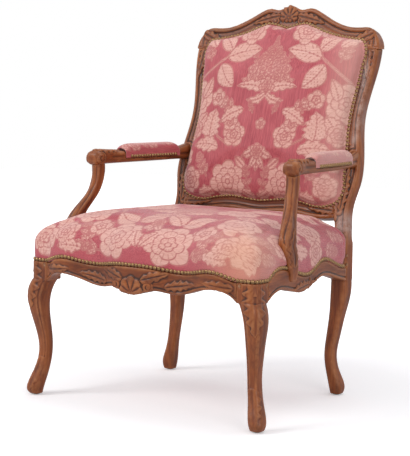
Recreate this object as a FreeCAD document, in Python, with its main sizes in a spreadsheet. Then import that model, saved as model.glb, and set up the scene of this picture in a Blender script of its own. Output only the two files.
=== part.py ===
import FreeCAD, Part
import math
import os
import PartDesign
import Sketcher
from FreeCAD import Placement, Rotation, Vector

# Carved armchair with a fixed, raked back: X to the viewer's right, front towards -Y, +Z up, floor at zero
doc = FreeCAD.newDocument("Armchair")
sheet = doc.addObject("Spreadsheet::Sheet", "Sizes")

# Driving sizes in millimetres and degrees
SIZES = {
    # Seat frame
    "front_post_x": 300.5,
    "front_post_side": 52,
    "front_post_corner": 20,
    "seat_length": 454,
    "back_plane_y": 161,
    "rail_top": 374,
    "rear_rail_half": 276,
    "rail_depth": 34,
    "rail_rebate": 5,
    "ledge_below_nails": 5.5,
    "ledge_clearance": 0.6,
    "rail_round": 5,
    "side_rail_front_low": 88,
    "side_rail_hump_low": 76,
    "side_rail_belly_low": 87,
    "side_rail_turn_low": 79,
    "side_rail_rise_low": 64,
    "side_rail_tail_low": 74,
    "side_rail_rear_low": 90,
    "side_nail_hump": 26,
    "side_nail_dip": 46,
    "side_nail_rise": 24,
    "side_nail_rear": 54,
    "rear_rail_height": 70,
    "rear_rail_thickness": 28,
    "rear_rail_back_gap": 3,
    "rear_nail_drop": 29,
    "rear_nail_margin": 8,
    # Rear posts and back frame
    "post_block_low": 284,
    "rear_block_inner": 229,
    "rear_block_outer": 274,
    "rear_block_front": 6,
    "post_depth": 33,
    "post_round": 8,
    "back_base_rise": 18,
    "back_rake": 15.68,
    "crest_joint": 456,
    "frame_thickness": 31.6,
    # Joints
    "tenon_thickness": 12,
    "front_tenon_set_back": 4,
    "side_tenon_set_out": 6,
    "tenon_height": 36,
    "tenon_shoulder": 22,
    "tenon_length": 24,
    "front_tenon_length": 17,
    "side_front_tenon_length": 15,
    "side_rear_tenon_length": 11,
    "rear_tenon_length": 20,
    "tenon_clearance": 0.15,
    "soft_clearance": 0.3,
    "peg_radius": 3.5,
    "peg_length": 24,
    "peg_inset": 8,
    "peg_rear_inset": 6,
    "peg_side_inset": 10,
    "peg_spread": 11,
    # Arms
    "arm_dowel_radius": 6,
    "arm_dowel_length": 14,
    "arm_height": 571,
    "arm_pad_start": 82,
    "arm_pad_end": 13,
    "arm_pad_top": 33,
    "arm_pad_low": 4,
    "arm_pad_width": 40,
    "arm_pad_end_round": 34,
    "arm_pad_end_drop": 15,
    "arm_core_top": 8,
    "arm_core_margin": 7,
    "arm_core_inset": 12,
    "arm_tenon_inset": 3.1,
    "arm_tenon_half": 6,
    "arm_tenon_height": 20,
    "arm_tenon_start": 44,
    "arm_tenon_end": 75,
    "arm_dowel_inset": 22,
    "crest_tenon_width": 22,
    "crest_tenon_thickness": 12,
    "crest_tenon_shift": 3,
    "bottom_tenon_rise": 64,
    "bottom_tenon_height": 20,
    "bottom_tenon_thickness": 10,
    "bottom_tenon_reach": 18,
    "bottom_tenon_root": 8,
    # Upholstery
    "cover_thickness": 3.4,
    "cover_set_in": 0.6,
    "webbing_width": 55,
    "webbing_thickness": 1.5,
    "web_span": 76,
    "web_front_gap": 16,
    "web_rear_gap": 8,
    "web_front_row": 78,
    "web_rear_row": 48,
    "web_side_gap": 19,
    "web_margin": 18,
    "back_web_half_span": 120,
    "back_web_low": 142,
    "back_web_high": 412,
    "hessian_thickness": 1,
    "hessian_inset": 13,
    "seat_cover_low": 316,
    "seat_rear_corner": 14,
    "panel_inset": 3,
    "panel_thickness": 2,
    "nail_radius": 4.7,
    "nail_rise": 3,
    "nail_pitch": 9.8,
    "nail_seat_clearance": 0.3,
    "arm_nail_rise": 5,
    "arm_nail_margin": 16,
    # Hardware
    "glide_radius": 9,
    "glide_height": 3,
    "screw_radius": 2.5,
    "screw_head_radius": 5,
    "screw_length": 42,
    "screw_hole_clearance": 0.1,
    "screw_grip": 18,
    "corner_block_side": 62,
    "corner_block_height": 44,
    "corner_block_drop": 20,
    "corner_block_trim": 8,
    "screw_spread": 8,
    "screw_inset": 24,
    "screw_inset_inner": 22,
    "head_sink": 0.6,
}

# Front leg stations: height, step outwards, step forwards, side of the section
FRONT_LEG = {
    "sole": (3, 23, 9, 28),
    "foot": (14, 24, 10, 35),
    "instep": (46, 17, 3.5, 35),
    "ankle": (112, 4.5, -7, 28.5),
    "calf": (165, 8, -2.5, 34),
    "shin": (205, 13, 4, 41),
    "knee": (245, 14.5, 6, 49),
}

# Rear leg stations: height, x and y from the middle of the block, width and depth of the section
REAR_LEG = {
    "sole": (3, 4.5, -20.5, 27, 27),
    "foot": (20, 5, -20.5, 34, 34),
    "instep": (50, -2.5, -23.5, 31, 31),
    "ankle": (95, -11.5, -25.5, 27, 27),
    "calf": (140, -11, -16.5, 30, 30),
    "shin": (190, -7, -6.5, 34, 35),
    "knee": (235, -1.5, -2.5, 43, 38),
}

# Stile stations: rise above the back's base, inner and outer half width
STILE = {
    "base": (0, 232, 271),
    "hollow": (24, 229, 267),
    "ear": (63, 219, 263),
    "bulge": (125, 221, 273.5),
    "waist": (284, 211, 257),
    "shoulder": (443, 223, 274),
}

# Arm support stations: share of the rise from rail to arm, x and y from the seat's corner, width and depth
SUPPORT = {
    "toe": (-0.284, -17.5, 172, 14, 26),
    "foot": (-0.147, -14.5, 167, 21, 34),
    "root": (0.005, -13, 155, 26, 42),
    "flare": (0.142, -13, 145, 28, 45),
    "bend": (0.274, -16, 151, 28, 42),
    "neck": (0.411, -24.5, 169, 27, 35),
    "hollow": (0.538, -33.5, 187, 26, 31),
    "waist": (0.69, -39, 201, 26, 30),
    "top": (0.975, -39.5, 205, 28, 31),
}

# Front arm stations: y and x from the support's top, height of the centre over the arm's, width and height
ARM_FRONT = {
    "tip": (-21, 2.5, 0, 20, 14),
    "roll": (-15, 3, 0, 34, 30),
    "knuckle": (-2, 1.5, 1, 38, 36),
    "throat": (16, -0.5, 1.5, 36, 34),
    "neck": (40, -3, 1, 33, 32),
    "pad_front": (70, -5.5, 0.5, 36, 30),
}

# Rear arm stations: y from the back's plane, x from the post, height over the arm's, width and height
ARM_REAR = {
    "pad_rear": (-50, -6, 0.5, 36, 28),
    "wrist": (10, -13, 2, 31, 30),
    "root": (45, -18, 6, 28, 38),
    "heel": (79, -22, 10, 28, 42),
}

# Front rail stations: share of the half length, front face y behind the corner, drop of nails, drop of edge
FRONT_RAIL = {
    "centre": (0, -24, 25, 95),
    "shell": (0.2, -19, 27, 82),
    "hollow": (0.39, -2, 34, 88),
    "slope": (0.61, -8, 30, 74),
    "rise": (0.79, -16, 24, 65),
    "bracket": (0.93, -8, 33, 73),
    "end": (1, 0, 39.5, 90),
}

# Crest stations: half width, height of the top edge above the back's base
CREST_TOP = {
    "boss": (0, 568),
    "notch": (34, 557),
    "dome": (58, 560.5),
    "slope": (100, 546),
    "fall": (140, 526),
    "dip": (180, 513),
    "ear": (222, 511),
    "shoulder": (259, 499),
    "edge": (273, 476),
}

# Crest stations: half width, height of the hidden lower edge above the back's base
CREST_UNDER = {
    "centre": (0, 489),
    "dome": (48, 502),
    "slope": (100, 488),
    "fall": (160, 471),
    "dip": (200, 464),
    "corner": (223, 456),
}

# Bottom rail stations: half width, height of the hidden upper edge and of the lower edge above the base
BOTTOM_RAIL = {
    "centre": (0, 88, 41),
    "arch": (55, 94, 45),
    "swell": (110, 96, 45.5),
    "hollow": (160, 86, 39),
    "dip": (195, 85, 38),
    "end": (227, 92, 44),
}

# Back nail line stations: half width against rise on the sides, then rise against half width
NAIL_SIDE = {
    "low": (84, 240),
    "bulge": (125, 243),
    "waist": (284, 233),
    "swell": (443, 245),
    "high": (470, 243),
}
NAIL_TOP = {
    "centre": (0, 513),
    "dome": (48, 526),
    "slope": (100, 510),
    "fall": (160, 493),
    "dip": (200, 486),
    "corner": (236, 482),
}
NAIL_BOTTOM = {
    "centre": (0, 66),
    "arch": (40, 70),
    "swell": (95, 74),
    "hollow": (175, 62),
    "dip": (200, 63),
    "corner": (232, 74),
}

# Rise above the rails and inset of the seat's crown; forward step and inset of the back pad's crown
SEAT_CROWN = {
    "edge": (0, 0),
    "wall": (10, 0.5),
    "lip": (22, 5),
    "turn": (36, 18),
    "slope": (50, 42),
    "rise": (62, 78),
    "dome": (72, 130),
    "top": (78, 200),
}
BACK_CROWN = {
    "lip": (3, 10.2),
    "wall": (14, 11.6),
    "turn": (25, 20),
    "slope": (33, 40),
    "rise": (39, 75),
    "dome": (43, 130),
}

TABLES = {
    "front_leg": FRONT_LEG,
    "rear_leg": REAR_LEG,
    "stile": STILE,
    "support": SUPPORT,
    "arm_front": ARM_FRONT,
    "arm_rear": ARM_REAR,
    "front_rail": FRONT_RAIL,
    "crest_top": CREST_TOP,
    "crest_under": CREST_UNDER,
    "bottom_rail": BOTTOM_RAIL,
    "nail_side": NAIL_SIDE,
    "nail_top": NAIL_TOP,
    "nail_bottom": NAIL_BOTTOM,
    "seat_crown": SEAT_CROWN,
    "back_crown": BACK_CROWN,
}
COLUMNS = ("first", "second", "third", "fourth", "fifth")


def fill_sheet():
    """Write every size to a row of its own, with its name as the alias of the value's cell."""
    rows = dict(SIZES)
    for table, stations in TABLES.items():
        for station, values in stations.items():
            for column, value in zip(COLUMNS, values):
                rows[f"{table}_{station}_{column}"] = value
    for row, (name, value) in enumerate(rows.items(), start=1):
        sheet.set(f"A{row}", name)
        sheet.set(f"B{row}", str(value))
        sheet.setAlias(f"B{row}", name)
    doc.recompute()


def size(name):
    """Read one size from the sheet."""
    return float(sheet.get(name))


def table_rows(table):
    """Read a table of stations from the sheet, one tuple for each station."""
    return [
        tuple(size(f"{table}_{station}_{column}") for column, value in zip(COLUMNS, values))
        for station, values in TABLES[table].items()
    ]


def smooth(pairs):
    """A smooth function through pairs of place and value, taken in order of place."""
    curve = Part.BSplineCurve()
    ordered = sorted(pairs)
    places = [float(place) for place, value in ordered]
    curve.interpolate(Points=[Vector(place, value, 0) for place, value in ordered], Parameters=places)
    return lambda place: curve.value(place).y


def mirrored(pairs):
    """Add the left-hand half to pairs of half width and value."""
    return [(-place, value) for place, value in reversed(pairs) if place > 0] + list(pairs)


def steps(low, high, count):
    """Evenly spaced numbers from low to high, both included."""
    return [low + (high - low) * index / count for index in range(count + 1)]


fill_sheet()

# Sizes that several pieces share
front_post_y = size("back_plane_y") - size("seat_length")
half_side = size("front_post_side") / 2
front_outer_x = size("front_post_x") + half_side
front_outer_y = front_post_y - half_side
rail_start = size("front_post_x") - half_side
rail_top = size("rail_top")
rebate = size("rail_rebate")
back_base = rail_top + size("back_base_rise")
rake = math.radians(size("back_rake"))
block_front = size("back_plane_y") - size("rear_block_front")
block_rear = block_front + size("rear_block_front") + size("post_depth")
back_place = Placement(
    Vector(0, size("back_plane_y"), back_base),
    Rotation(Vector(1, 0, 0), 90 - size("back_rake")),
)


def up_slope(rise):
    """Distance up the back's slope for a rise above its base."""
    return rise / math.cos(rake)


def add_shape(name, shape, place=Placement()):
    """Put a finished shape in the document under its node's name."""
    feature = doc.addObject("Part::Feature", name)
    feature.Label = name
    feature.Shape = shape
    feature.Placement = place
    return feature


def mirror_x(shape):
    """The same shape on the other side of the chair."""
    return shape.mirror(Vector(0, 0, 0), Vector(1, 0, 0))


def box(low, high):
    """A block between two corners."""
    span = [b - a for a, b in zip(low, high)]
    return Part.makeBox(*span, Vector(*low))


def rounded_outline(across, along, radius):
    """Corner arcs and sides of a rounded rectangle about the origin, as edges in the XY plane."""
    half_x = across / 2
    half_y = along / 2
    radius = min(radius, 0.48 * min(across, along))
    slant = radius * (1 - math.sqrt(0.5))
    edges = []
    for turn_x, turn_y in ((1, 1), (-1, 1), (-1, -1), (1, -1)):
        on_side = Vector(turn_x * half_x, turn_y * (half_y - radius), 0)
        on_end = Vector(turn_x * (half_x - radius), turn_y * half_y, 0)
        middle = Vector(turn_x * (half_x - slant), turn_y * (half_y - slant), 0)
        ends = (on_side, on_end) if turn_x == turn_y else (on_end, on_side)
        edges.append((ends[0], middle, ends[1]))
    wire = []
    for index, (start, middle, end) in enumerate(edges):
        wire.append(Part.Arc(start, middle, end).toShape())
        wire.append(Part.makeLine(end, edges[(index + 1) % 4][0]))
    return Part.Wire(wire)


def level_section(x, y, z, across, along, radius):
    """A rounded rectangle that lies level at a height."""
    wire = rounded_outline(across, along, radius)
    wire.translate(Vector(x, y, z))
    return wire


def upright_section(x, y, z, across, tall, radius):
    """A rounded rectangle that stands square to the Y axis."""
    wire = rounded_outline(across, tall, radius)
    wire.rotate(Vector(0, 0, 0), Vector(1, 0, 0), 90)
    wire.translate(Vector(x, y, z))
    return wire


def loft(wires, ruled=False):
    """A closed solid through a row of sections."""
    return Part.makeLoft(wires, True, ruled)


def arc_loop(points):
    """A closed wire of shallow arcs, each through three of the points."""
    edges = []
    for index in range(0, len(points), 2):
        start = points[index]
        middle = points[index + 1]
        end = points[(index + 2) % len(points)]
        bulge = (middle - start).cross(end - start).Length / (end - start).Length
        if bulge < 0.01:
            edges.append(Part.makeLine(start, end))
        else:
            edges.append(Part.Arc(start, middle, end).toShape())
    return Part.Wire(edges)


# Rails' curves
front_rows = table_rows("front_rail")
half_rail = rail_start
front_plan = smooth(mirrored([(row[0] * half_rail, front_outer_y + row[1]) for row in front_rows]))
front_nails = smooth(mirrored([(row[0] * half_rail, rail_top - row[2]) for row in front_rows]))
front_edge = smooth(mirrored([(row[0] * half_rail, rail_top - row[3]) for row in front_rows]))
side_shares = (0, 0.25, 0.42, 0.52, 0.66, 0.84, 1)
side_start = front_post_y + half_side
side_run = block_front - side_start
side_nail_drops = [
    front_rows[-1][2],
    size("side_nail_hump"),
    size("side_nail_dip"),
    size("side_nail_dip"),
    size("side_nail_rise"),
    (size("side_nail_rise") + size("side_nail_rear")) / 2,
    size("side_nail_rear"),
]
side_edge_drops = [
    size("side_rail_front_low"),
    size("side_rail_hump_low"),
    size("side_rail_belly_low"),
    size("side_rail_turn_low"),
    size("side_rail_rise_low"),
    size("side_rail_tail_low"),
    size("side_rail_rear_low"),
]
side_places = [side_start + share * side_run for share in side_shares]
side_nails = smooth([(y, rail_top - drop) for y, drop in zip(side_places, side_nail_drops)])
side_edge = smooth([(y, rail_top - drop) for y, drop in zip(side_places, side_edge_drops)])


def side_x(y):
    """Outer face of the right side rail at a depth."""
    share = (y - side_start) / side_run
    return front_outer_x + (size("rear_rail_half") - front_outer_x) * share


def rail_section(low, ledge, swell=0.0):
    """Section of a show-wood rail as points of depth from the face and height, with a rebate above its ledge."""
    radius = size("rail_round")
    top = rail_top + swell
    depth = size("rail_depth") + swell
    set_back = rebate - swell
    face = -swell
    return [
        Vector(depth, 0, low - swell),
        Vector(face + radius, 0, low - swell),
        Vector(face + 0.29 * radius, 0, low - swell + 0.29 * radius),
        Vector(face, 0, low - swell + radius),
        Vector(face, 0, ledge + swell - 3),
        Vector(face + 0.4, 0, ledge + swell - 1),
        Vector(face + 1.5, 0, ledge + swell),
        Vector(set_back, 0, ledge + swell),
        Vector(set_back, 0, top),
        Vector(depth, 0, top),
    ]


def section_wire(points):
    """Wire of a rail section, with arcs at the lower corner and at the ledge."""
    return Part.Wire([
        Part.makeLine(points[0], points[1]),
        Part.Arc(points[1], points[2], points[3]).toShape(),
        Part.makeLine(points[3], points[4]),
        Part.Arc(points[4], points[5], points[6]).toShape(),
        Part.makeLine(points[6], points[7]),
        Part.makeLine(points[7], points[8]),
        Part.makeLine(points[8], points[9]),
        Part.makeLine(points[9], points[0]),
    ])


ledge_drop = size("ledge_below_nails")


def front_rail_solid(swell=0.0):
    """The bowed front rail, from one front post to the other."""
    wires = []
    for x in steps(-half_rail, half_rail, 18):
        points = rail_section(front_edge(x), front_nails(x) - ledge_drop, swell)
        back_face = front_outer_y + size("rail_depth") + swell
        placed = [Vector(x, min(front_plan(x) + point.x, back_face), point.z) for point in points]
        placed[0].y = back_face
        placed[9].y = back_face
        wires.append(section_wire(placed))
    return loft(wires)


def side_rail_solid(swell=0.0):
    """The right-hand side rail, from the front post to the rear post."""
    wires = []
    for y in steps(side_start, block_front, 14):
        points = rail_section(side_edge(y), side_nails(y) - ledge_drop, swell)
        wires.append(section_wire([Vector(side_x(y) - point.x, y, point.z) for point in points]))
    return loft(wires)


def tenon(centre, along, direction, clearance=0.0):
    """A tenon that starts at a joint face and runs along an axis; with a clearance it is the mortise."""
    half = [size("tenon_thickness") / 2 + clearance] * 3
    half[2] = size("tenon_height") / 2 + clearance
    half[along] = (size("tenon_length") + clearance) / 2
    middle = list(centre)
    middle[along] += direction * half[along]
    low = [c - a for c, a in zip(middle, half)]
    high = [c + a for c, a in zip(middle, half)]
    return box(low, high)


# Joint faces of the rails' tenons on the right-hand posts
tenon_level = rail_top - size("tenon_height") / 2 - size("tenon_shoulder")
front_tenon = ((rail_start, front_post_y + size("front_tenon_set_back"), tenon_level), 0, 1)
side_front_tenon = ((size("front_post_x") + size("side_tenon_set_out"), side_start, tenon_level), 1, -1)
side_rear_x = side_x(block_front) - size("rail_depth") / 2
side_rear_tenon = ((side_rear_x, block_front, tenon_level), 1, 1)
rear_rail_front = block_front + size("rear_rail_back_gap")
rear_rail_middle = rear_rail_front + size("rear_rail_thickness") / 2
rear_tenon = ((size("rear_block_inner"), rear_rail_middle, tenon_level), 0, 1)
clear = size("tenon_clearance")


def shortened(joint, length):
    """The same joint with its tenon cut shorter, where another tenon crosses it in the post."""
    centre, along, direction = joint
    solid = tenon(centre, along, direction)
    moved = solid.copy()
    shift = [0, 0, 0]
    shift[along] = -direction * (size("tenon_length") - length)
    moved.translate(Vector(*shift))
    return solid.common(moved)


def grown(solid_box, amount):
    """A block with each face moved out."""
    bound = solid_box.BoundBox
    low = (bound.XMin - amount, bound.YMin - amount, bound.ZMin - amount)
    high = (bound.XMax + amount, bound.YMax + amount, bound.ZMax + amount)
    return box(low, high)


front_tenon_solid = shortened(front_tenon, size("front_tenon_length"))
side_front_tenon_solid = shortened(side_front_tenon, size("side_front_tenon_length"))
side_rear_tenon_solid = shortened(side_rear_tenon, size("side_rear_tenon_length"))
rear_tenon_solid = shortened(rear_tenon, size("rear_tenon_length"))


def post_outline(x, y, z, side, corner):
    """Square plan of the right front post, rounded only at its outer corner, so that the rails meet it flush."""
    half = side / 2
    slant = corner * (1 - math.sqrt(0.5))
    points = [
        Vector(x - half, y - half, z),
        Vector(x + half - corner, y - half, z),
        Vector(x + half - slant, y - half + slant, z),
        Vector(x + half, y - half + corner, z),
        Vector(x + half, y + half, z),
        Vector(x - half, y + half, z),
    ]
    return Part.Wire([
        Part.makeLine(points[0], points[1]),
        Part.Arc(points[1], points[2], points[3]).toShape(),
        Part.makeLine(points[3], points[4]),
        Part.makeLine(points[4], points[5]),
        Part.makeLine(points[5], points[0]),
    ])


def front_leg_solid():
    """The right front leg: cabriole leg, moulded block at the rails and rebated head under the cover."""
    x = size("front_post_x")
    y = front_post_y
    rows = table_rows("front_leg")
    rows.append((size("post_block_low"), 1, 1, size("front_post_side") + 1))
    out, forward, side = [smooth([(row[0], row[column]) for row in rows]) for column in (1, 2, 3)]
    wires = []
    for z in steps(rows[0][0], rows[-1][0], 16):
        wires.append(level_section(x + out(z), y - forward(z), z, side(z), side(z), 0.36 * side(z)))
    full = size("front_post_side")
    corner = size("front_post_corner")
    ledge = front_nails(rail_start) - ledge_drop
    block = Part.Face(post_outline(x, y, rows[-1][0], full, corner))
    block = block.extrude(Vector(0, 0, ledge - rows[-1][0]))
    inset = full - 2 * rebate
    head = Part.Face(post_outline(x, y, ledge - 1, inset, corner - rebate))
    head = head.extrude(Vector(0, 0, rail_top - ledge + 1))
    return loft(wires).fuse([block, head]).removeSplitter()


front_leg = front_leg_solid()
for mortise in (front_tenon_solid, side_front_tenon_solid):
    front_leg = front_leg.cut(grown(mortise, clear))


def rear_post_solid():
    """The right rear post in one piece: leg, block at the rails and raked stile, with its head tenon."""
    x_inner = size("rear_block_inner")
    x_outer = size("rear_block_outer")
    block_x = (x_inner + x_outer) / 2
    block_y = (block_front + block_rear) / 2
    block_wide = x_outer - x_inner
    block_deep = block_rear - block_front
    rows = [
        (z, block_x + x, block_y + y, across, along) for z, x, y, across, along in table_rows("rear_leg")
    ]
    rows.append((size("post_block_low"), block_x, block_y, block_wide, block_deep))
    curves = [smooth([(row[0], row[column]) for row in rows]) for column in (1, 2, 3, 4)]
    wires = []
    for z in steps(rows[0][0], rows[-1][0], 16):
        x, y, across, along = [curve(z) for curve in curves]
        wires.append(level_section(x, y, z, across, along, min(0.3 * across, size("post_round") + 3)))
    leg = loft(wires)
    block = Part.Face(level_section(block_x, block_y, rows[-1][0], block_wide, block_deep, size("post_round")))
    block = block.extrude(Vector(0, 0, rail_top - rows[-1][0]))
    stile_rows = table_rows("stile")
    joint = size("crest_joint")
    inner = smooth([(row[0], row[1]) for row in stile_rows] + [(joint, stile_rows[-1][1])])
    outer = smooth([(row[0], row[2]) for row in stile_rows] + [(joint, stile_rows[-1][2] - 0.5)])
    wires = [level_section(block_x, block_y, rail_top, block_wide, block_deep, size("post_round"))]
    for rise in steps(0, joint, 18):
        x = (inner(rise) + outer(rise)) / 2
        y = size("back_plane_y") + rise * math.tan(rake) + size("post_depth") / 2
        across = outer(rise) - inner(rise)
        wires.append(level_section(x, y, back_base + rise, across, size("post_depth"), size("post_round")))
    stile = loft(wires)
    return leg.fuse([block, stile]).removeSplitter()


rear_post = rear_post_solid()
crest_tenon_x = (table_rows("stile")[-1][1] + table_rows("stile")[-1][2]) / 2
crest_tenon_y = size("back_plane_y") + size("crest_joint") * math.tan(rake) + size("post_depth") / 2
crest_tenon_half = size("crest_tenon_width") / 2
crest_tenon_front = crest_tenon_y - size("crest_tenon_thickness") / 2 + size("crest_tenon_shift")
crest_level = back_base + size("crest_joint")
crest_tenon = box(
    (crest_tenon_x - crest_tenon_half, crest_tenon_front, crest_level),
    (
        crest_tenon_x + crest_tenon_half,
        crest_tenon_front + size("crest_tenon_thickness"),
        crest_level + size("tenon_length"),
    ),
)
bottom_tenon_y = size("back_plane_y") + size("bottom_tenon_rise") * math.tan(rake) + size("post_depth") / 2
bottom_end = table_rows("stile")[2][1]
bottom_tenon_low = back_base + size("bottom_tenon_rise") - size("bottom_tenon_height") / 2
bottom_tenon = box(
    (
        bottom_end - size("bottom_tenon_root"),
        bottom_tenon_y - size("bottom_tenon_thickness") / 2,
        bottom_tenon_low,
    ),
    (
        bottom_end + size("bottom_tenon_reach"),
        bottom_tenon_y + size("bottom_tenon_thickness") / 2,
        bottom_tenon_low + size("bottom_tenon_height"),
    ),
)
rear_post = rear_post.cut([grown(side_rear_tenon_solid, clear), grown(rear_tenon_solid, clear)])
rear_post = rear_post.cut(grown(bottom_tenon, clear))


arm_rise = size("arm_height") - rail_top
support_rows = [
    (rail_top + share * arm_rise, front_outer_x + x, front_outer_y + y, across, along)
    for share, x, y, across, along in table_rows("support")
]
arm_rows = [
    (support_rows[-1][2] + y, support_rows[-1][1] + x, size("arm_height") + z, across, tall)
    for y, x, z, across, tall in table_rows("arm_front")
]
arm_rows += [
    (size("back_plane_y") + y, size("rear_block_outer") + x, size("arm_height") + z, across, tall)
    for y, x, z, across, tall in table_rows("arm_rear")
]


def support_solid(swell=0.0):
    """The right arm support, whipping forward and out from the side rail."""
    rows = support_rows
    curves = [smooth([(row[0], row[column]) for row in rows]) for column in (1, 2, 3, 4)]
    wires = []
    for z in steps(rows[0][0], rows[-1][0], 16):
        x, y, across, along = [curve(z) for curve in curves]
        radius = 0.34 * across
        wires.append(level_section(x, y, z, across + 2 * swell, along + 2 * swell, radius))
    return loft(wires)


def arm_solid():
    """The right arm, from its rolled knuckle back into the stile."""
    rows = arm_rows
    curves = [smooth([(row[0], row[column]) for row in rows]) for column in (1, 2, 3, 4)]
    wires = []
    for y in steps(rows[0][0], rows[-1][0], 26):
        x, z, across, tall = [curve(y) for curve in curves]
        wires.append(upright_section(x, y, z, across, tall, 0.36 * min(across, tall)))
    return loft(wires)


arm_x = smooth([(row[0], row[1]) for row in arm_rows])
pad_start = support_rows[-1][2] + size("arm_pad_start")
pad_end = size("back_plane_y") + size("arm_pad_end")
pad_low = size("arm_height") - size("arm_pad_low")
core_top = size("arm_height") + size("arm_core_top")


def pad_form(inset, low, end_inset):
    """The armrest's pad as a crowned form over the arm, drawn in at both ends."""
    start = pad_start + end_inset
    end = pad_end - end_inset
    top = size("arm_height") + size("arm_pad_top") - inset
    width = size("arm_pad_width") - 2 * inset
    end_reach = size("arm_pad_end_round")
    wires = []
    for y in steps(start, end, 16):
        near_end = max(0, 1 - min(y - start, end - y) / end_reach)
        fall = size("arm_pad_end_drop") * (1 - math.sqrt(1 - 0.96 * near_end**2))
        half = width / 2 - 0.3 * fall
        crown = top - fall
        shoulder = crown - 2
        knee = crown - 14 + inset
        corner = half * 0.55
        x = arm_x(y)
        middle = Vector(half - 0.29 * corner, 0, shoulder - 0.29 * (shoulder - knee))
        points = [
            Vector(x + half, y, low),
            Vector(x + half, y, knee),
            Vector(x + middle.x, y, middle.z),
            Vector(x + half - corner, y, shoulder),
            Vector(x, y, crown),
            Vector(x - half + corner, y, shoulder),
            Vector(x - middle.x, y, middle.z),
            Vector(x - half, y, knee),
            Vector(x - half, y, low),
        ]
        wires.append(Part.Wire([
            Part.makeLine(points[0], points[1]),
            Part.Arc(points[1], points[2], points[3]).toShape(),
            Part.Arc(points[3], points[4], points[5]).toShape(),
            Part.Arc(points[5], points[6], points[7]).toShape(),
            Part.makeLine(points[7], points[8]),
            Part.makeLine(points[8], points[0]),
        ]))
    return loft(wires)


soft = size("soft_clearance")
cover = size("cover_thickness")
pad_outer = pad_form(0, pad_low, 0)
pad_inner = pad_form(cover, pad_low - 1, cover)
pad_core = pad_form(cover + soft, pad_low - 1, cover + soft)
far = 2000


def pad_platform():
    """The plain platform on the arm that the pad's stuffing is built on."""
    half = size("arm_pad_width") / 2 - size("arm_core_margin")
    low = pad_low - 2
    high = core_top
    wires = []
    for y in steps(pad_start + size("arm_core_inset"), pad_end - size("arm_core_inset"), 4):
        x = arm_x(y)
        corners = [(x - half, low), (x + half, low), (x + half, high), (x - half, high), (x - half, low)]
        wires.append(Part.makePolygon([Vector(across, y, up) for across, up in corners]))
    return loft(wires)


arm_whole = arm_solid()
pad_room = box(
    (0, pad_start - soft, pad_low - soft),
    (far, pad_end + soft, far),
)
arm = arm_whole.cut(pad_room).fuse(pad_platform())
arm = arm.cut(rear_post)
arm_root = arm_rows[-2]
arm_tenon_x = arm_root[1] - size("arm_tenon_inset")
arm_tenon = box(
    (
        arm_tenon_x - size("arm_tenon_half"),
        size("back_plane_y") + size("arm_tenon_start"),
        arm_root[2] - size("arm_tenon_height") / 2,
    ),
    (
        arm_tenon_x + size("arm_tenon_half"),
        size("back_plane_y") + size("arm_tenon_end"),
        arm_root[2] + size("arm_tenon_height") / 2,
    ),
)
arm_inside = arm_tenon.common(arm_whole)
arm = arm.fuse(arm_inside).removeSplitter()
rear_post = rear_post.cut(grown(arm_tenon, clear))
arm_pad_cover = pad_outer.cut(pad_inner)
arm_pad_stuffing = pad_core.common(box((0, -far, core_top + soft), (far, far, far)))

support = support_solid()
support_top = support_rows[-1]
support = support.cut(arm_whole)
dowel_tall = size("arm_dowel_length") + size("arm_dowel_inset")
dowel_foot = Vector(support_top[1], support_top[2], size("arm_height") + 2 - dowel_tall)
dowel = Part.makeCylinder(size("arm_dowel_radius"), dowel_tall, dowel_foot)
dowel_hole = Part.makeCylinder(size("arm_dowel_radius") + clear, dowel_tall + clear, dowel_foot)
support = support.fuse(dowel).removeSplitter()
arm = arm.cut(dowel_hole)

side_rail = side_rail_solid().fuse([side_front_tenon_solid, side_rear_tenon_solid])
side_rail = side_rail.cut(support_solid(clear)).removeSplitter()
front_rail = front_rail_solid()
front_rail = front_rail.fuse([front_tenon_solid, mirror_x(front_tenon_solid)]).removeSplitter()

add_shape("front_seat_rail", front_rail)
add_shape("front_leg_right", front_leg)
add_shape("front_leg_left", mirror_x(front_leg))
add_shape("side_seat_rail_right", side_rail)
add_shape("side_seat_rail_left", mirror_x(side_rail))


def edge_line(pairs, count):
    """Points along a mirrored edge of the back frame, from the left to the right, in the back's plane."""
    line = smooth(mirrored(pairs))
    reach = pairs[-1][0]
    return [Vector(x, up_slope(line(x)), 0) for x in steps(-reach, reach, count)]


def spline_edge(points):
    """One smooth edge through points."""
    curve = Part.BSplineCurve()
    curve.interpolate(points)
    return curve.toShape()


def plank(points_above, points_below):
    """A piece of the back frame between two edges, as thick as the frame, front face in the back's plane."""
    wire = Part.Wire([
        spline_edge(points_above),
        Part.makeLine(points_above[-1], points_below[-1]),
        spline_edge(points_below),
        Part.makeLine(points_below[0], points_above[0]),
    ])
    return Part.Face(wire).extrude(Vector(0, 0, -size("frame_thickness")))


def in_place(shape):
    """A shape of the back's own plane set in the chair's frame."""
    placed = shape.copy()
    placed.Placement = back_place
    return placed


def crest_solid():
    """The crest rail with its two domes, centre boss and shoulders."""
    top = edge_line(table_rows("crest_top"), 48)
    under = edge_line(table_rows("crest_under"), 32)
    joint = up_slope(size("crest_joint"))
    top = [Vector(top[0].x, joint - 12, 0)] + top + [Vector(top[-1].x, joint - 12, 0)]
    under = [Vector(under[0].x, joint - 12, 0)] + under + [Vector(under[-1].x, joint - 12, 0)]
    crest = in_place(plank(top, under))
    level = back_base + size("crest_joint")
    crest = crest.cut(box((-far, -far, -far), (far, far, level)))
    for hole in (crest_tenon, mirror_x(crest_tenon)):
        crest = crest.cut(grown(hole, clear))
    return crest


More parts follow.
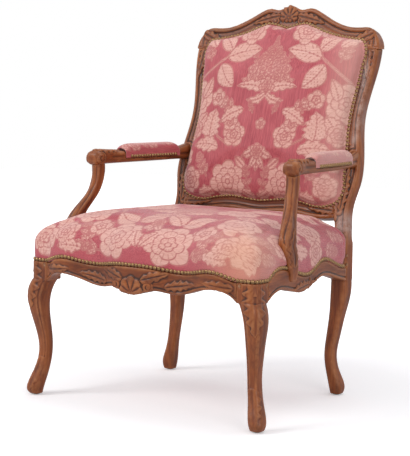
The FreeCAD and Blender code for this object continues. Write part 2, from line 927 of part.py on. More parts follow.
def bottom_rail_solid():
    """The back's bottom rail, tenoned between the stiles."""
    rows = table_rows("bottom_rail")
    above = edge_line([(row[0], row[1]) for row in rows], 32)
    below = edge_line([(row[0], row[2]) for row in rows], 32)
    rail = in_place(plank(above, below))
    rail = rail.cut([rear_post, mirror_x(rear_post)])
    return rail.fuse([bottom_tenon, mirror_x(bottom_tenon)]).removeSplitter()


rear_post = rear_post.fuse(crest_tenon).removeSplitter()
crest = crest_solid()
bottom_rail = bottom_rail_solid()
add_shape("crest_rail", crest)
add_shape("back_bottom_rail", bottom_rail)
add_shape("rear_post_right", rear_post)
add_shape("rear_post_left", mirror_x(rear_post))
add_shape("arm_right", arm)
add_shape("arm_left", mirror_x(arm))
add_shape("arm_support_right", support)
add_shape("arm_support_left", mirror_x(support))
add_shape("arm_pad_cover_right", arm_pad_cover)
add_shape("arm_pad_cover_left", mirror_x(arm_pad_cover))
add_shape("arm_pad_stuffing_right", arm_pad_stuffing)
add_shape("arm_pad_stuffing_left", mirror_x(arm_pad_stuffing))

# Seat upholstery: webbing, hessian, stuffing and cover over the rails
rear_rail_back = rear_rail_front + size("rear_rail_thickness")
seat_front_y = front_plan(0)
seat_rear_y = rear_rail_back + cover + soft + size("cover_set_in")
seat_middle_y = (seat_front_y + seat_rear_y) / 2
seat_half_depth = (seat_rear_y - seat_front_y) / 2
seat_low = size("seat_cover_low")
rear_corner = size("seat_rear_corner")


def seat_plan():
    """Points round the seat's outer face, from the front left corner, counted in pairs for shallow arcs."""
    radius = size("front_post_corner")
    turn_x = front_outer_x - radius
    turn_y = front_outer_y + radius
    points = []
    for x in steps(-half_rail, half_rail, 16):
        points.append((x, front_plan(x)))
    front_count = len(points)
    points.append(((half_rail + turn_x) / 2, front_outer_y))
    for angle in steps(-90, 0, 4):
        radians = math.radians(angle)
        points.append((turn_x + radius * math.cos(radians), turn_y + radius * math.sin(radians)))
    points.append((front_outer_x, (turn_y + side_start) / 2))
    for y in steps(side_start, seat_rear_y - rear_corner, 4):
        points.append((side_x(y), y))
    corner_x = side_x(seat_rear_y)
    points.append((corner_x - 0.29 * rear_corner, seat_rear_y - 0.29 * rear_corner))
    points.append((corner_x - rear_corner, seat_rear_y))
    points.append((corner_x / 2, seat_rear_y))
    left_side = [(-x, y) for x, y in reversed(points[front_count:])]
    return points + [(0, seat_rear_y)] + left_side


seat_points = seat_plan()


def seat_loop(z, inset):
    """The seat's plan at a height, drawn in towards the middle."""
    share_x = 1 - inset / front_outer_x
    share_y = 1 - inset / seat_half_depth
    return arc_loop([
        Vector(x * share_x, seat_middle_y + (y - seat_middle_y) * share_y, z) for x, y in seat_points
    ])


def seat_crown(shrink, low):
    """The crown over the rails, or one a skin's thickness inside it, down to a level."""
    wires = [seat_loop(low, shrink)]
    for rise, inset in table_rows("seat_crown"):
        wires.append(seat_loop(rail_top + rise - 0.9 * shrink, shrink + inset))
    return loft(wires, True)


def both_sides(shape):
    """A right-hand shape and its mirror image."""
    return [shape, mirror_x(shape)]


set_in = size("cover_set_in")
post_corner = size("front_post_corner")


def wall_line(count):
    """Places round the rails' faces from the left rear post to the right: point, outward normal, nail level."""
    radius = post_corner
    turn_x = front_outer_x - radius
    turn_y = front_outer_y + radius
    corner_level = front_nails(half_rail)
    half = []
    for x in steps(0, half_rail, count):
        slope = (front_plan(min(x + 1, half_rail)) - front_plan(x - 1)) / (min(x + 1, half_rail) - x + 1)
        half.append((Vector(x, front_plan(x), 0), Vector(slope, -1, 0).normalize(), front_nails(x)))
    for angle in steps(-90, 0, 4):
        radians = math.radians(angle)
        facing = Vector(math.cos(radians), math.sin(radians), 0)
        half.append((Vector(turn_x, turn_y, 0) + facing * radius, facing, corner_level))
    side_facing = Vector(side_run, front_outer_x - size("rear_rail_half"), 0).normalize()
    for y in steps(side_start, block_front - soft, count):
        half.append((Vector(side_x(y), y, 0), side_facing, side_nails(y)))
    mirrored_half = [(Vector(-p.x, p.y, 0), Vector(-n.x, n.y, 0), z) for p, n, z in reversed(half[1:])]
    return mirrored_half + half


def below_nails():
    """The space under the cover's lower edge, round the rails' faces."""
    wires = []
    for place, facing, nail_level in wall_line(24):
        high = Vector(0, 0, nail_level - ledge_drop + size("ledge_clearance"))
        low = Vector(0, 0, seat_low - 20)
        outer = place + facing * 6
        inner = place - facing * 12
        wires.append(Part.makePolygon([outer + low, outer + high, inner + high, inner + low, outer + low]))
    return loft(wires, True)


rear_post_room = box(
    (size("rear_block_inner") - soft, block_front - soft, 0),
    (far, far, far),
)
support_room = both_sides(support_solid(soft + 0.2))
below_rear_nails = box(
    (-far, block_front - 20, 0),
    (far, far, rail_top - size("rear_nail_drop") - ledge_drop),
)
head_wide = size("front_post_side") - 2 * rebate + 2 * soft
head_room = post_outline(size("front_post_x"), front_post_y, 0, head_wide, post_corner - rebate)
head_room = Part.Face(head_room).extrude(Vector(0, 0, rail_top + soft))
seat_cover = seat_crown(set_in, seat_low).cut(seat_crown(set_in + cover, seat_low - 5))
seat_cover = seat_cover.cut([below_nails(), below_rear_nails])
seat_cover = seat_cover.cut(both_sides(rear_post_room) + support_room + both_sides(head_room))
seat_cover = max(seat_cover.Solids, key=lambda solid: solid.Volume)
web = size("webbing_thickness")
hessian_low = rail_top + 2 * web + soft
stuffing_low = hessian_low + size("hessian_thickness") + soft
stuffing = seat_crown(set_in + cover + soft, rail_top - 8)
stuffing = stuffing.cut([box((-far, -far, -far), (far, far, stuffing_low))] + both_sides(rear_post_room))
stuffing = stuffing.cut(support_room)
stuffing = max(stuffing.Solids, key=lambda solid: solid.Volume)
hessian = Part.Face(seat_loop(hessian_low, size("hessian_inset")))
hessian = hessian.extrude(Vector(0, 0, size("hessian_thickness")))
hessian = hessian.cut(both_sides(rear_post_room) + support_room)
hessian = max(hessian.Solids, key=lambda solid: solid.Volume)
web_wide = size("webbing_width")
strips = []
for x in steps(-2 * web_wide - size("web_span"), 2 * web_wide + size("web_span"), 4):
    low = (x - web_wide / 2, front_outer_y + size("web_front_gap"), rail_top)
    strips.append(box(low, (x + web_wide / 2, rear_rail_back - size("web_rear_gap"), rail_top + web)))
for y in steps(front_outer_y + size("web_front_row"), rear_rail_front - size("web_rear_row"), 4):
    reach = side_x(y) - size("web_side_gap")
    low = (-reach, y - web_wide / 2, rail_top + web)
    strips.append(box(low, (reach, y + web_wide / 2, rail_top + 2 * web)))
add_shape("seat_webbing", Part.makeCompound(strips))
add_shape("seat_hessian", hessian)
add_shape("seat_stuffing", stuffing)
add_shape("seat_cover", seat_cover)

# Back upholstery, modelled in the back's own plane with its front towards +Z
side_line = smooth(table_rows("nail_side"))
top_line = smooth(mirrored(table_rows("nail_top")))
bottom_line = smooth(mirrored(table_rows("nail_bottom")))


def back_plan():
    """Points round the back's nail line, bottom left corner first."""
    bottom_reach = table_rows("nail_bottom")[-1][0]
    top_reach = table_rows("nail_top")[-1][0]
    low = table_rows("nail_side")[0][0]
    high = table_rows("nail_side")[-1][0]
    points = [(x, up_slope(bottom_line(x))) for x in steps(-bottom_reach, bottom_reach, 12)]
    points += [(side_line(rise), up_slope(rise)) for rise in steps(low, high, 8)]
    points += [(x, up_slope(top_line(x))) for x in steps(top_reach, -top_reach, 16)]
    points += [(-side_line(rise), up_slope(rise)) for rise in steps(high, low, 8)]
    return points


back_points = back_plan()
back_middle = up_slope((bottom_line(0) + top_line(0)) / 2)
back_half_width = side_line(table_rows("nail_side")[-2][0])
back_half_rise = back_middle - up_slope(bottom_line(0))


def back_loop(forward, inset):
    """The nail line drawn in towards the middle, at a distance in front of the frame."""
    share_x = 1 - inset / back_half_width
    share_y = 1 - inset / back_half_rise
    return arc_loop([
        Vector(x * share_x, back_middle + (y - back_middle) * share_y, forward) for x, y in back_points
    ])


def back_crown(shrink, low):
    """The back pad's crown, or a form inside it, down to a level."""
    rows = table_rows("back_crown")
    wires = [back_loop(low, rows[0][1] + shrink)]
    for forward, inset in rows:
        wires.append(back_loop(forward - 0.9 * shrink, inset + shrink))
    return loft(wires, True)


rim = Part.Face(back_loop(soft, 0)).extrude(Vector(0, 0, table_rows("back_crown")[0][0] - soft))
back_cover = rim.fuse(back_crown(0, soft)).cut(back_crown(cover, -4))
back_web_low = soft
back_hessian_low = back_web_low + 2 * web + soft
back_stuff_low = back_hessian_low + size("hessian_thickness") + soft
back_inset = table_rows("back_crown")[0][1] + cover + 4 * soft
back_stuffing = back_crown(cover + soft, -5)
back_stuffing = back_stuffing.cut(box((-far, -far, -far), (far, far, back_stuff_low)))
back_hessian = Part.Face(back_loop(back_hessian_low, back_inset))
back_hessian = back_hessian.extrude(Vector(0, 0, size("hessian_thickness")))
bands = []
web_margin = size("web_margin")
for x in steps(-size("back_web_half_span"), size("back_web_half_span"), 3):
    ends = [
        max(up_slope(bottom_line(x + side * web_wide / 2)) for side in (-1, 0, 1)) + web_margin - 2,
        min(up_slope(top_line(x + side * web_wide / 2)) for side in (-1, 0, 1)) - web_margin,
    ]
    bands.append(box((x - web_wide / 2, ends[0], soft), (x + web_wide / 2, ends[1], soft + web)))
for rise in steps(size("back_web_low"), size("back_web_high"), 3):
    reach = min(side_line(rise + shift) for shift in (-30, 0, 30)) - web_margin
    middle = up_slope(rise)
    low = (-reach, middle - web_wide / 2, soft + web)
    bands.append(box(low, (reach, middle + web_wide / 2, soft + 2 * web)))
frame_back = -size("frame_thickness")
panel_inset = size("panel_inset")
panel = size("panel_thickness")
panel_rim = Part.Face(back_loop(frame_back - soft, panel_inset)).extrude(Vector(0, 0, -panel))
panel_crown = loft([
    back_loop(frame_back - 2, panel_inset + 10),
    back_loop(frame_back - 4.5, panel_inset + 22),
    back_loop(frame_back - 6.5, panel_inset + 60),
], True)
add_shape("back_webbing", Part.makeCompound(bands), back_place)
add_shape("back_hessian", back_hessian, back_place)
add_shape("back_stuffing", back_stuffing, back_place)
add_shape("back_cover", back_cover, back_place)
add_shape("back_outside_panel", panel_rim.fuse(panel_crown), back_place)

# Brass nails in close rows
nail_sphere = (size("nail_radius") ** 2 + size("nail_rise") ** 2) / (2 * size("nail_rise"))
nail_latitude = math.degrees(math.asin(1 - size("nail_rise") / nail_sphere))
nail_centre = Vector(0, 0, size("nail_rise") - nail_sphere)
nail_head = Part.makeSphere(nail_sphere, nail_centre, Vector(0, 0, 1), nail_latitude, 90, 360)


def spaced(points, pitch):
    """Places at an even pitch along a row of points, with the direction of travel at each."""
    lengths = [0.0]
    for start, end in zip(points, points[1:]):
        lengths.append(lengths[-1] + (end - start).Length)
    count = max(1, round(lengths[-1] / pitch))
    places = []
    index = 0
    for step in range(count):
        target = (step + 0.5) * lengths[-1] / count
        while lengths[index + 1] < target:
            index += 1
        start, end = points[index], points[index + 1]
        share = (target - lengths[index]) / (lengths[index + 1] - lengths[index])
        places.append((start + (end - start) * share, (end - start).normalize()))
    return places


def nail_row(points, outward):
    """Nail heads along a line of points; outward gives the direction a head faces from its line's travel."""
    heads = []
    for place, travel in spaced(points, size("nail_pitch")):
        head = nail_head.copy()
        head.Placement = Placement(place, Rotation(Vector(0, 0, 1), outward(place, travel)))
        heads.append(head)
    return heads


def face_out(place, travel):
    """Outward from the seat's wall, level and square to the nail line."""
    return Vector(travel.y, -travel.x, 0).normalize()


def seat_nail_line():
    """The nail line round the front and the right side of the seat, from the middle of the front."""
    line = wall_line(40)
    half = line[len(line) // 2:]
    end = block_front - size("nail_radius")
    sink = set_in - size("nail_seat_clearance")
    return [place - facing * sink + Vector(0, 0, level) for place, facing, level in half if place.y < end]


support_foot = support_rows[1]
nail_room = support_foot[4] / 2 + size("nail_radius") + 4


def clear_of_support(head):
    """True for a nail that doesn't stand under the arm support."""
    place = head.Placement.Base
    return place.x < support_foot[1] - nail_room or abs(place.y - support_foot[2]) > nail_room


front_and_side = [head for head in nail_row(seat_nail_line(), face_out) if clear_of_support(head)]
rear_half = size("rear_block_inner") - size("rear_nail_margin")
rear_line = [
    Vector(x, seat_rear_y - set_in + size("nail_seat_clearance"), rail_top - size("rear_nail_drop"))
    for x in (rear_half, -rear_half)
]
seat_nails = front_and_side + [mirror_x(head) for head in front_and_side] + nail_row(rear_line, face_out)
add_shape("seat_nails", Part.makeCompound(seat_nails))


def back_nail_line(forward, inset):
    """The closed nail line of the back, as points."""
    wire = back_loop(forward, inset)
    points = wire.discretize(260)
    return points + [points[0]]


front_rim = table_rows("back_crown")[0][0]
back_nails = nail_row(back_nail_line(front_rim, 4.7), lambda place, travel: Vector(0, 0, 1))
rear_level = frame_back - soft - panel
panel_nails = nail_row(back_nail_line(rear_level, panel_inset + 5), lambda place, travel: Vector(0, 0, -1))
add_shape("back_nails", Part.makeCompound(back_nails), back_place)
add_shape("back_panel_nails", Part.makeCompound(panel_nails), back_place)


def arm_nail_heads():
    """Nails along both sides of the right armrest's cover, just above its lower edge."""
    half = size("arm_pad_width") / 2 + size("nail_seat_clearance")
    level = pad_low + size("arm_nail_rise")
    heads = []
    for side in (-1, 1):
        ends = (pad_start + size("arm_nail_margin"), pad_end - size("arm_nail_margin"))
        line = [Vector(arm_x(y) + side * half, y, level) for y in steps(ends[0], ends[1], 20)]
        heads += nail_row(line, lambda place, travel: face_out(place, travel) * side)
    return heads


arm_nails = arm_nail_heads()
add_shape("arm_nails", Part.makeCompound(arm_nails + [mirror_x(head) for head in arm_nails]))

# Pieces drawn as sketches and padded or turned, bound to the sheet
def add_body(name):
    """A body under its node's name."""
    body = doc.addObject("PartDesign::Body", name)
    body.Label = name
    return body


def add_sketch(body, role):
    """A sketch on one of the body's own origin planes."""
    sketch = body.newObject("Sketcher::SketchObject", body.Name + "_sketch")
    plane = [item for item in body.Origin.OriginFeatures if item.Role == role][0]
    sketch.AttachmentSupport = [(plane, "")]
    sketch.MapMode = "FlatFace"
    return sketch


def bind(sketch, index, name, expression):
    """Name a constraint and tie it to the sheet."""
    sketch.renameConstraint(index, name)
    sketch.setExpression("Constraints." + name, expression)


def draw_rectangle(sketch, left, low, wide, tall):
    """A rectangle with its lower left corner and its sides given as expressions."""
    x, y, across, up = [sketch.evalExpression(text) for text in (left, low, wide, tall)]
    corners = [Vector(x, y, 0), Vector(x + across, y, 0), Vector(x + across, y + up, 0), Vector(x, y + up, 0)]
    for index in range(4):
        sketch.addGeometry(Part.LineSegment(corners[index], corners[(index + 1) % 4]), False)
    for index in range(4):
        sketch.addConstraint(Sketcher.Constraint("Coincident", index, 2, (index + 1) % 4, 1))
    for index, kind in enumerate(("Horizontal", "Vertical", "Horizontal", "Vertical")):
        sketch.addConstraint(Sketcher.Constraint(kind, index))
    bind(sketch, sketch.addConstraint(Sketcher.Constraint("DistanceX", -1, 1, 0, 1, x)), "left", left)
    bind(sketch, sketch.addConstraint(Sketcher.Constraint("DistanceY", -1, 1, 0, 1, y)), "low", low)
    bind(sketch, sketch.addConstraint(Sketcher.Constraint("DistanceX", 0, 1, 0, 2, across)), "wide", wide)
    bind(sketch, sketch.addConstraint(Sketcher.Constraint("DistanceY", 1, 1, 1, 2, up)), "tall", tall)


def pad(body, sketch, length):
    """Pad a sketch by a length given as an expression, evenly to both sides of its plane."""
    feature = body.newObject("PartDesign::Pad", body.Name + "_pad")
    feature.Profile = sketch
    feature.Midplane = True
    feature.setExpression("Length", length)
    return feature


rear_rail = add_body("rear_seat_rail")
rear_sketch = add_sketch(rear_rail, "XZ_Plane")
draw_rectangle(
    rear_sketch,
    "-Sizes.rear_block_inner",
    "Sizes.rail_top - Sizes.rear_rail_height",
    "2 * Sizes.rear_block_inner",
    "Sizes.rear_rail_height",
)
pad(rear_rail, rear_sketch, "Sizes.rear_rail_thickness")
tenon_sketch = add_sketch(rear_rail, "XZ_Plane")
draw_rectangle(
    tenon_sketch,
    "-Sizes.rear_block_inner - Sizes.rear_tenon_length",
    "Sizes.rail_top - Sizes.tenon_shoulder - Sizes.tenon_height",
    "2 * Sizes.rear_block_inner + 2 * Sizes.rear_tenon_length",
    "Sizes.tenon_height",
)
pad(rear_rail, tenon_sketch, "Sizes.tenon_thickness")
rear_rail.setExpression(
    "Placement.Base.y",
    "Sizes.back_plane_y - Sizes.rear_block_front + Sizes.rear_rail_back_gap + Sizes.rear_rail_thickness / 2",
)


def turned_body(name, outline):
    """A body turned about its own Z axis from an outline of radius and height, each given as expressions."""
    body = add_body(name)
    sketch = add_sketch(body, "XZ_Plane")
    points = [Vector(*[sketch.evalExpression(text) for text in pair], 0) for pair in outline]
    count = len(points)
    for index in range(count):
        sketch.addGeometry(Part.LineSegment(points[index], points[(index + 1) % count]), False)
    for index in range(count):
        sketch.addConstraint(Sketcher.Constraint("Coincident", index, 2, (index + 1) % count, 1))
    for index, (radius, height) in enumerate(outline):
        across = Sketcher.Constraint("DistanceX", -1, 1, index, 1, points[index].x)
        bind(sketch, sketch.addConstraint(across), f"radius{index}", radius)
        upward = Sketcher.Constraint("DistanceY", -1, 1, index, 1, points[index].y)
        bind(sketch, sketch.addConstraint(upward), f"height{index}", height)
    turning = body.newObject("PartDesign::Revolution", name + "_turning")
    turning.Profile = sketch
    turning.ReferenceAxis = (sketch, ["V_Axis"])
    turning.Angle = 360
    return body


glide_pattern = turned_body("glide_pattern", [
    ("0", "0"),
    ("0.6 * Sizes.glide_radius", "0"),
    ("Sizes.glide_radius", "0.5 * Sizes.glide_height"),
    ("Sizes.glide_radius", "Sizes.glide_height"),
    ("0", "Sizes.glide_height"),
])
screw_pattern = turned_body("screw_pattern", [
    ("0", "0"),
    ("Sizes.screw_head_radius", "0"),
    ("Sizes.screw_head_radius", "-Sizes.head_sink"),
    ("Sizes.screw_radius", "-Sizes.head_sink - Sizes.screw_head_radius + Sizes.screw_radius"),
    ("Sizes.screw_radius", "-Sizes.screw_length + Sizes.screw_radius"),
    ("0", "-Sizes.screw_length"),
])
doc.recompute()


def copies(pattern, places):
    """Separate solids of a pattern at each placement."""
    solids = []
    for place in places:
        solid = pattern.Shape.copy()
        solid.Placement = place
        solids.append(solid)
    return solids


front_sole = table_rows("front_leg")[0]
rear_sole = table_rows("rear_leg")[0]
rear_block_x = (size("rear_block_inner") + size("rear_block_outer")) / 2
rear_block_y = (block_front + block_rear) / 2
glide_spots = [
    (size("front_post_x") + front_sole[1], front_post_y - front_sole[2]),
    (rear_block_x + rear_sole[1], rear_block_y + rear_sole[2]),
]
glide_places = [Placement(Vector(side * x, y, 0), Rotation()) for x, y in glide_spots for side in (1, -1)]
add_shape("foot_glides", Part.makeCompound(copies(glide_pattern, glide_places)))

# Glue blocks in the seat's corners, with a screw into each rail
block_tall = size("corner_block_height")
block_high = rail_top - size("corner_block_drop")
block_side = size("corner_block_side")
front_inner_y = front_outer_y + size("rail_depth")
depth = size("rail_depth")
trim = size("corner_block_trim")


def corner_block(points):
    """An upright glue block over a plan outline."""
    corners = [Vector(x, y, block_high - block_tall) for x, y in points]
    return Part.Face(Part.makePolygon(corners + [corners[0]])).extrude(Vector(0, 0, block_tall))


def side_inner(y):
    """Inner face of the right side rail."""
    return side_x(y) - depth


front_block = corner_block([
    (half_rail - block_side + trim, front_inner_y),
    (half_rail, front_inner_y),
    (half_rail, side_start),
    (side_inner(side_start), side_start),
    (side_inner(side_start + block_side - trim), side_start + block_side - trim),
])
rear_block = corner_block([
    (size("rear_block_inner") - block_side + 2 * trim, rear_rail_front),
    (size("rear_block_inner"), rear_rail_front),
    (size("rear_block_inner"), block_front),
    (side_inner(block_front), block_front),
    (side_inner(block_front - block_side + trim), block_front - block_side + trim),
])
screw_drop = block_high - block_tall / 2
screw_level = (screw_drop - size("screw_spread"), screw_drop + size("screw_spread"))
screw_reach = size("screw_length") - size("screw_grip")


def screw_place(point, direction):
    """Where a screw goes whose head faces back along its way in."""
    return Placement(Vector(*point), Rotation(Vector(0, 0, -1), Vector(*direction)))


front_screw_x = half_rail - size("screw_inset")
front_screw_y = side_start + size("screw_inset_inner")
rear_screw_x = size("rear_block_inner") - size("screw_inset_inner")
rear_screw_y = block_front - size("screw_inset")
block_screws = [
    screw_place((front_screw_x, front_inner_y + screw_reach, screw_level[0]), (0, -1, 0)),
    screw_place((side_inner(front_screw_y) - screw_reach, front_screw_y, screw_level[1]), (1, 0, 0)),
    screw_place((rear_screw_x, rear_rail_front - screw_reach, screw_level[0]), (0, 1, 0)),
    screw_place((side_inner(rear_screw_y) - screw_reach, rear_screw_y, screw_level[1]), (1, 0, 0)),
]
support_screw_x = side_inner(support_foot[2]) - size("head_sink")
support_screws = [
    screw_place((support_screw_x, support_foot[2], support_foot[0] + rise), (1, 0, 0)) for rise in (-1, 19)
]


def screw_hole(place):
    """The hole that a screw goes in by, open above its head."""
    room = size("screw_hole_clearance")
    hole = Part.makeCylinder(size("screw_radius") + room, size("screw_length") + room)
    hole.Placement = Placement(place.Base, place.Rotation.multiply(Rotation(Vector(1, 0, 0), 180)))
    slope = size("screw_head_radius") - size("screw_radius")
    sink = Part.makeCone(size("screw_head_radius") + room, size("screw_radius") + room, slope)
    sink.Placement = hole.Placement.multiply(Placement(Vector(0, 0, size("head_sink")), Rotation()))
    mouth = Part.makeCylinder(size("screw_head_radius") + room, block_side + size("head_sink"))
    mouth.Placement = hole.Placement.multiply(Placement(Vector(0, 0, -block_side), Rotation()))
    return hole.fuse([sink, mouth])


block_holes = [screw_hole(place) for place in block_screws]
support_holes = [screw_hole(place) for place in support_screws]
front_block = front_block.cut(block_holes[:2])
rear_block = rear_block.cut(block_holes[2:])
add_shape("corner_block_front_right", front_block)
add_shape("corner_block_front_left", mirror_x(front_block))
add_shape("corner_block_rear_right", rear_block)
add_shape("corner_block_rear_left", mirror_x(rear_block))
right_screws = copies(screw_pattern, block_screws)
add_shape("corner_block_screws", Part.makeCompound(right_screws + [mirror_x(screw) for screw in right_screws]))
right_screws = copies(screw_pattern, support_screws)
add_shape("arm_support_screws", Part.makeCompound(right_screws + [mirror_x(screw) for screw in right_screws]))


def drill(name, holes):
    """Cut holes in a finished piece and its mirror image, or in one that crosses the middle."""
    pieces = [item for item in doc.Objects if item.Label in (name, name + "_right")]
    for piece in pieces:
        piece.Shape = piece.Shape.cut(holes)
    for twin in [item for item in doc.Objects if item.Label == name + "_left"]:
        twin.Shape = mirror_x(pieces[0].Shape)


# Pegs through the tenons of the rails
peg_low = tenon_level - size("peg_spread")
peg_high = tenon_level + size("peg_spread")
peg_inset = size("peg_inset")
peg_rear_y = block_front + size("peg_rear_inset")
peg_rear_x = size("rear_block_inner") + size("peg_side_inset")
peg_spots = [
    ((rail_start + peg_inset, front_outer_y, peg_low), (0, 1, 0)),
    ((rail_start + peg_inset, front_outer_y + rebate, peg_high), (0, 1, 0)),
    ((front_outer_x, side_start - peg_inset, peg_low), (-1, 0, 0)),
    ((front_outer_x - rebate, side_start - peg_inset, peg_high), (-1, 0, 0)),
    ((size("rear_block_outer"), peg_rear_y, peg_low), (-1, 0, 0)),
    ((size("rear_block_outer"), peg_rear_y, peg_high), (-1, 0, 0)),
    ((peg_rear_x, block_rear, peg_low), (0, -1, 0)),
    ((peg_rear_x, block_rear, peg_high), (0, -1, 0)),
]
peg_holes = []
pegs = []
for point, direction in peg_spots:
    pegs.append(Part.makeCylinder(size("peg_radius"), size("peg_length"), Vector(*point), Vector(*direction)))
    room = size("peg_radius") + clear / 3
    peg_holes.append(Part.makeCylinder(room, size("peg_length") + clear, Vector(*point), Vector(*direction)))
add_shape("joint_pegs", Part.makeCompound(pegs + [mirror_x(peg) for peg in pegs]))
drill("front_leg", peg_holes[:4])
drill("rear_post", peg_holes[4:])
drill("side_seat_rail", peg_holes + block_holes + support_holes)
drill("arm_support", support_holes)
drill("front_seat_rail", peg_holes + block_holes + [mirror_x(hole) for hole in peg_holes + block_holes])

# The rear rail's holes are cut in its own body's finished shape
rear_holes = peg_holes[6:] + block_holes[2:3]
rear_shape = rear_rail.Shape.cut(rear_holes + [mirror_x(hole) for hole in rear_holes])

doc.recompute()
os.makedirs("parts", exist_ok=True)
patterns = [glide_pattern, screw_pattern]
parts = [item for item in doc.Objects if item.TypeId in ("Part::Feature", "PartDesign::Body")]
parts = [item for item in parts if item not in patterns]
for item in doc.Objects:
    if [state for state in item.State if state in ("Invalid", "Error")]:
        raise RuntimeError(f"{item.Label} failed: {item.State}")
for item in parts:
    if item.Shape.isNull() or not item.Shape.isValid():
        raise RuntimeError(f"{item.Label} has no valid shape")
for item in parts:
    shape = rear_shape if item is rear_rail else item.Shape
    shape.exportStep(f"parts/{item.Label}.step")
    bound = shape.BoundBox
    print(item.Label, len(shape.Solids), round(shape.Volume / 1000, 1), "cm3", bound)
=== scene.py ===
# %% [markdown]
# # A carved armchair in damask
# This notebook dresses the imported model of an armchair: carved beech, brass nails and woven damask. Every
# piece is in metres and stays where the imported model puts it: X to the viewer's right, the front of the
# chair towards -Y, the floor at zero.

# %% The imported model
import math

import bmesh
import bpy
import numpy as np
from mathutils import Matrix, Vector, kdtree
from mathutils.bvhtree import BVHTree


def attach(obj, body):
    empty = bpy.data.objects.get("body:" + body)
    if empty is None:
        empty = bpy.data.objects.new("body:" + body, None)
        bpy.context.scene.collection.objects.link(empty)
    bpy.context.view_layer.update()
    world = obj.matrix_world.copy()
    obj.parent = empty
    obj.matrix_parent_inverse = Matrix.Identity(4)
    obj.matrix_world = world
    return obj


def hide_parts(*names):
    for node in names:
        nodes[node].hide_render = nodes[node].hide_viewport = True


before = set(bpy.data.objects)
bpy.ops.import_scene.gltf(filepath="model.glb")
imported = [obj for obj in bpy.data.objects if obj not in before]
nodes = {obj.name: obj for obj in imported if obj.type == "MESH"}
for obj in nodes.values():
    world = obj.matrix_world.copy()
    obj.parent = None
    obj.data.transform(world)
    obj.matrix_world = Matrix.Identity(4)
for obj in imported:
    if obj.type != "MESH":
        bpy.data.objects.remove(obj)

MM = 0.001
stage = bpy.context.scene.collection
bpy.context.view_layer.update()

# %% [markdown]
# ## The camera
# A camera's view is set by where it stands, what it looks at and its focal length. The chair is seen from
# its front right, from a little above the seat, from a long way off and with a lens that is long for the
# frame. The slight roll of a hand-held picture is kept too, because a tilt of half a degree shows on
# upright legs.

# %% Camera
VIEW_AZIMUTH = 35.444
VIEW_ELEVATION = 5.919
VIEW_ROLL = 0.673
VIEW_DISTANCE = 3.6913
VIEW_TARGET = Vector((0.0301, -0.0959, 0.4159))
FRAME_LONG_SIDE = 456
FOCAL_PIXELS = 1543.1
SENSOR = 36.0


def add_camera():
    """A camera on a sphere about its target, turned to look at it and rolled about its line of sight."""
    azimuth = math.radians(VIEW_AZIMUTH)
    elevation = math.radians(VIEW_ELEVATION)
    back = Vector((
        math.sin(azimuth) * math.cos(elevation),
        -math.cos(azimuth) * math.cos(elevation),
        math.sin(elevation),
    ))
    lens = bpy.data.cameras.new("camera")
    lens.sensor_width = SENSOR
    lens.lens = FOCAL_PIXELS * SENSOR / FRAME_LONG_SIDE
    camera = bpy.data.objects.new("camera", lens)
    stage.objects.link(camera)
    camera.location = VIEW_TARGET + back * VIEW_DISTANCE
    turn = (-back).to_track_quat("-Z", "Y").to_matrix().to_4x4()
    roll = Matrix.Rotation(math.radians(VIEW_ROLL), 4, "Z")
    camera.rotation_euler = (turn @ roll).to_euler()
    bpy.context.scene.camera = camera
    return camera


camera = add_camera()
print("camera", [round(value, 3) for value in camera.location])

# %% [markdown]
# ## Tools for the carver's bench
# A CAD node is a mesh of loose triangles. To carve it, a copy of it is merged, then remeshed on an even
# grid of small cells. Every vertex can then be pushed along its normal by a height in millimetres, which is
# how the mouldings, leaves and shells are cut. Arrays of coordinates make that quick.

# %% Copying, remeshing and pushing vertices
WOOD_CELL = 1.7
MERGE_GAP = 0.01


def new_piece(name, mesh):
    """An object for a mesh, at the origin."""
    piece = bpy.data.objects.new(name, mesh)
    stage.objects.link(piece)
    return piece


def node_form(node):
    """A CAD node's mesh as a form to work on."""
    form = bmesh.new()
    form.from_mesh(nodes[node].data)
    return form


def form_piece(name, form):
    """A piece made from a form, which is used up."""
    mesh = bpy.data.meshes.new(name)
    form.to_mesh(mesh)
    form.free()
    return new_piece(name, mesh)


def settle(piece):
    """Make the result of a piece's modifiers its own mesh."""
    graph = bpy.context.evaluated_depsgraph_get()
    mesh = bpy.data.meshes.new_from_object(piece.evaluated_get(graph))
    old = piece.data
    piece.modifiers.clear()
    piece.data = mesh
    bpy.data.meshes.remove(old)
    mesh.name = piece.name


def wood_copy(node):
    """A merged copy of a CAD node on an even grid of cells, lightly smoothed."""
    form = node_form(node)
    bmesh.ops.remove_doubles(form, verts=form.verts, dist=MERGE_GAP * MM)
    piece = form_piece(node + "_carved", form)
    remesh = piece.modifiers.new("cells", "REMESH")
    remesh.mode = "VOXEL"
    remesh.voxel_size = WOOD_CELL * MM
    soften = piece.modifiers.new("soften", "SMOOTH")
    soften.factor = 0.5
    soften.iterations = 2
    settle(piece)
    return piece


def read_rows(items, key):
    """Three numbers for each item of a mesh, one row each."""
    flat = np.empty(len(items) * 3)
    items.foreach_get(key, flat)
    return flat.reshape(-1, 3)


def places(mesh):
    """Vertex coordinates in millimetres, one row each."""
    return read_rows(mesh.vertices, "co") / MM


def facings(mesh):
    """Vertex normals, one row each."""
    return read_rows(mesh.vertex_normals, "vector")


def set_places(mesh, spots):
    """Write coordinates in millimetres back to a mesh."""
    mesh.vertices.foreach_set("co", (spots * MM).ravel())
    mesh.update()


def push(piece, heights):
    """Push each vertex along its normal by its height in millimetres."""
    mesh = piece.data
    set_places(mesh, places(mesh) + facings(mesh) * heights[:, None])


def write_value(mesh, name, values):
    """Store one number for each vertex, or one for all, under a name that materials can read."""
    numbers = np.broadcast_to(values, len(mesh.vertices)).astype(np.float32)
    mesh.attributes.new(name, "FLOAT", "POINT").data.foreach_set("value", numbers)


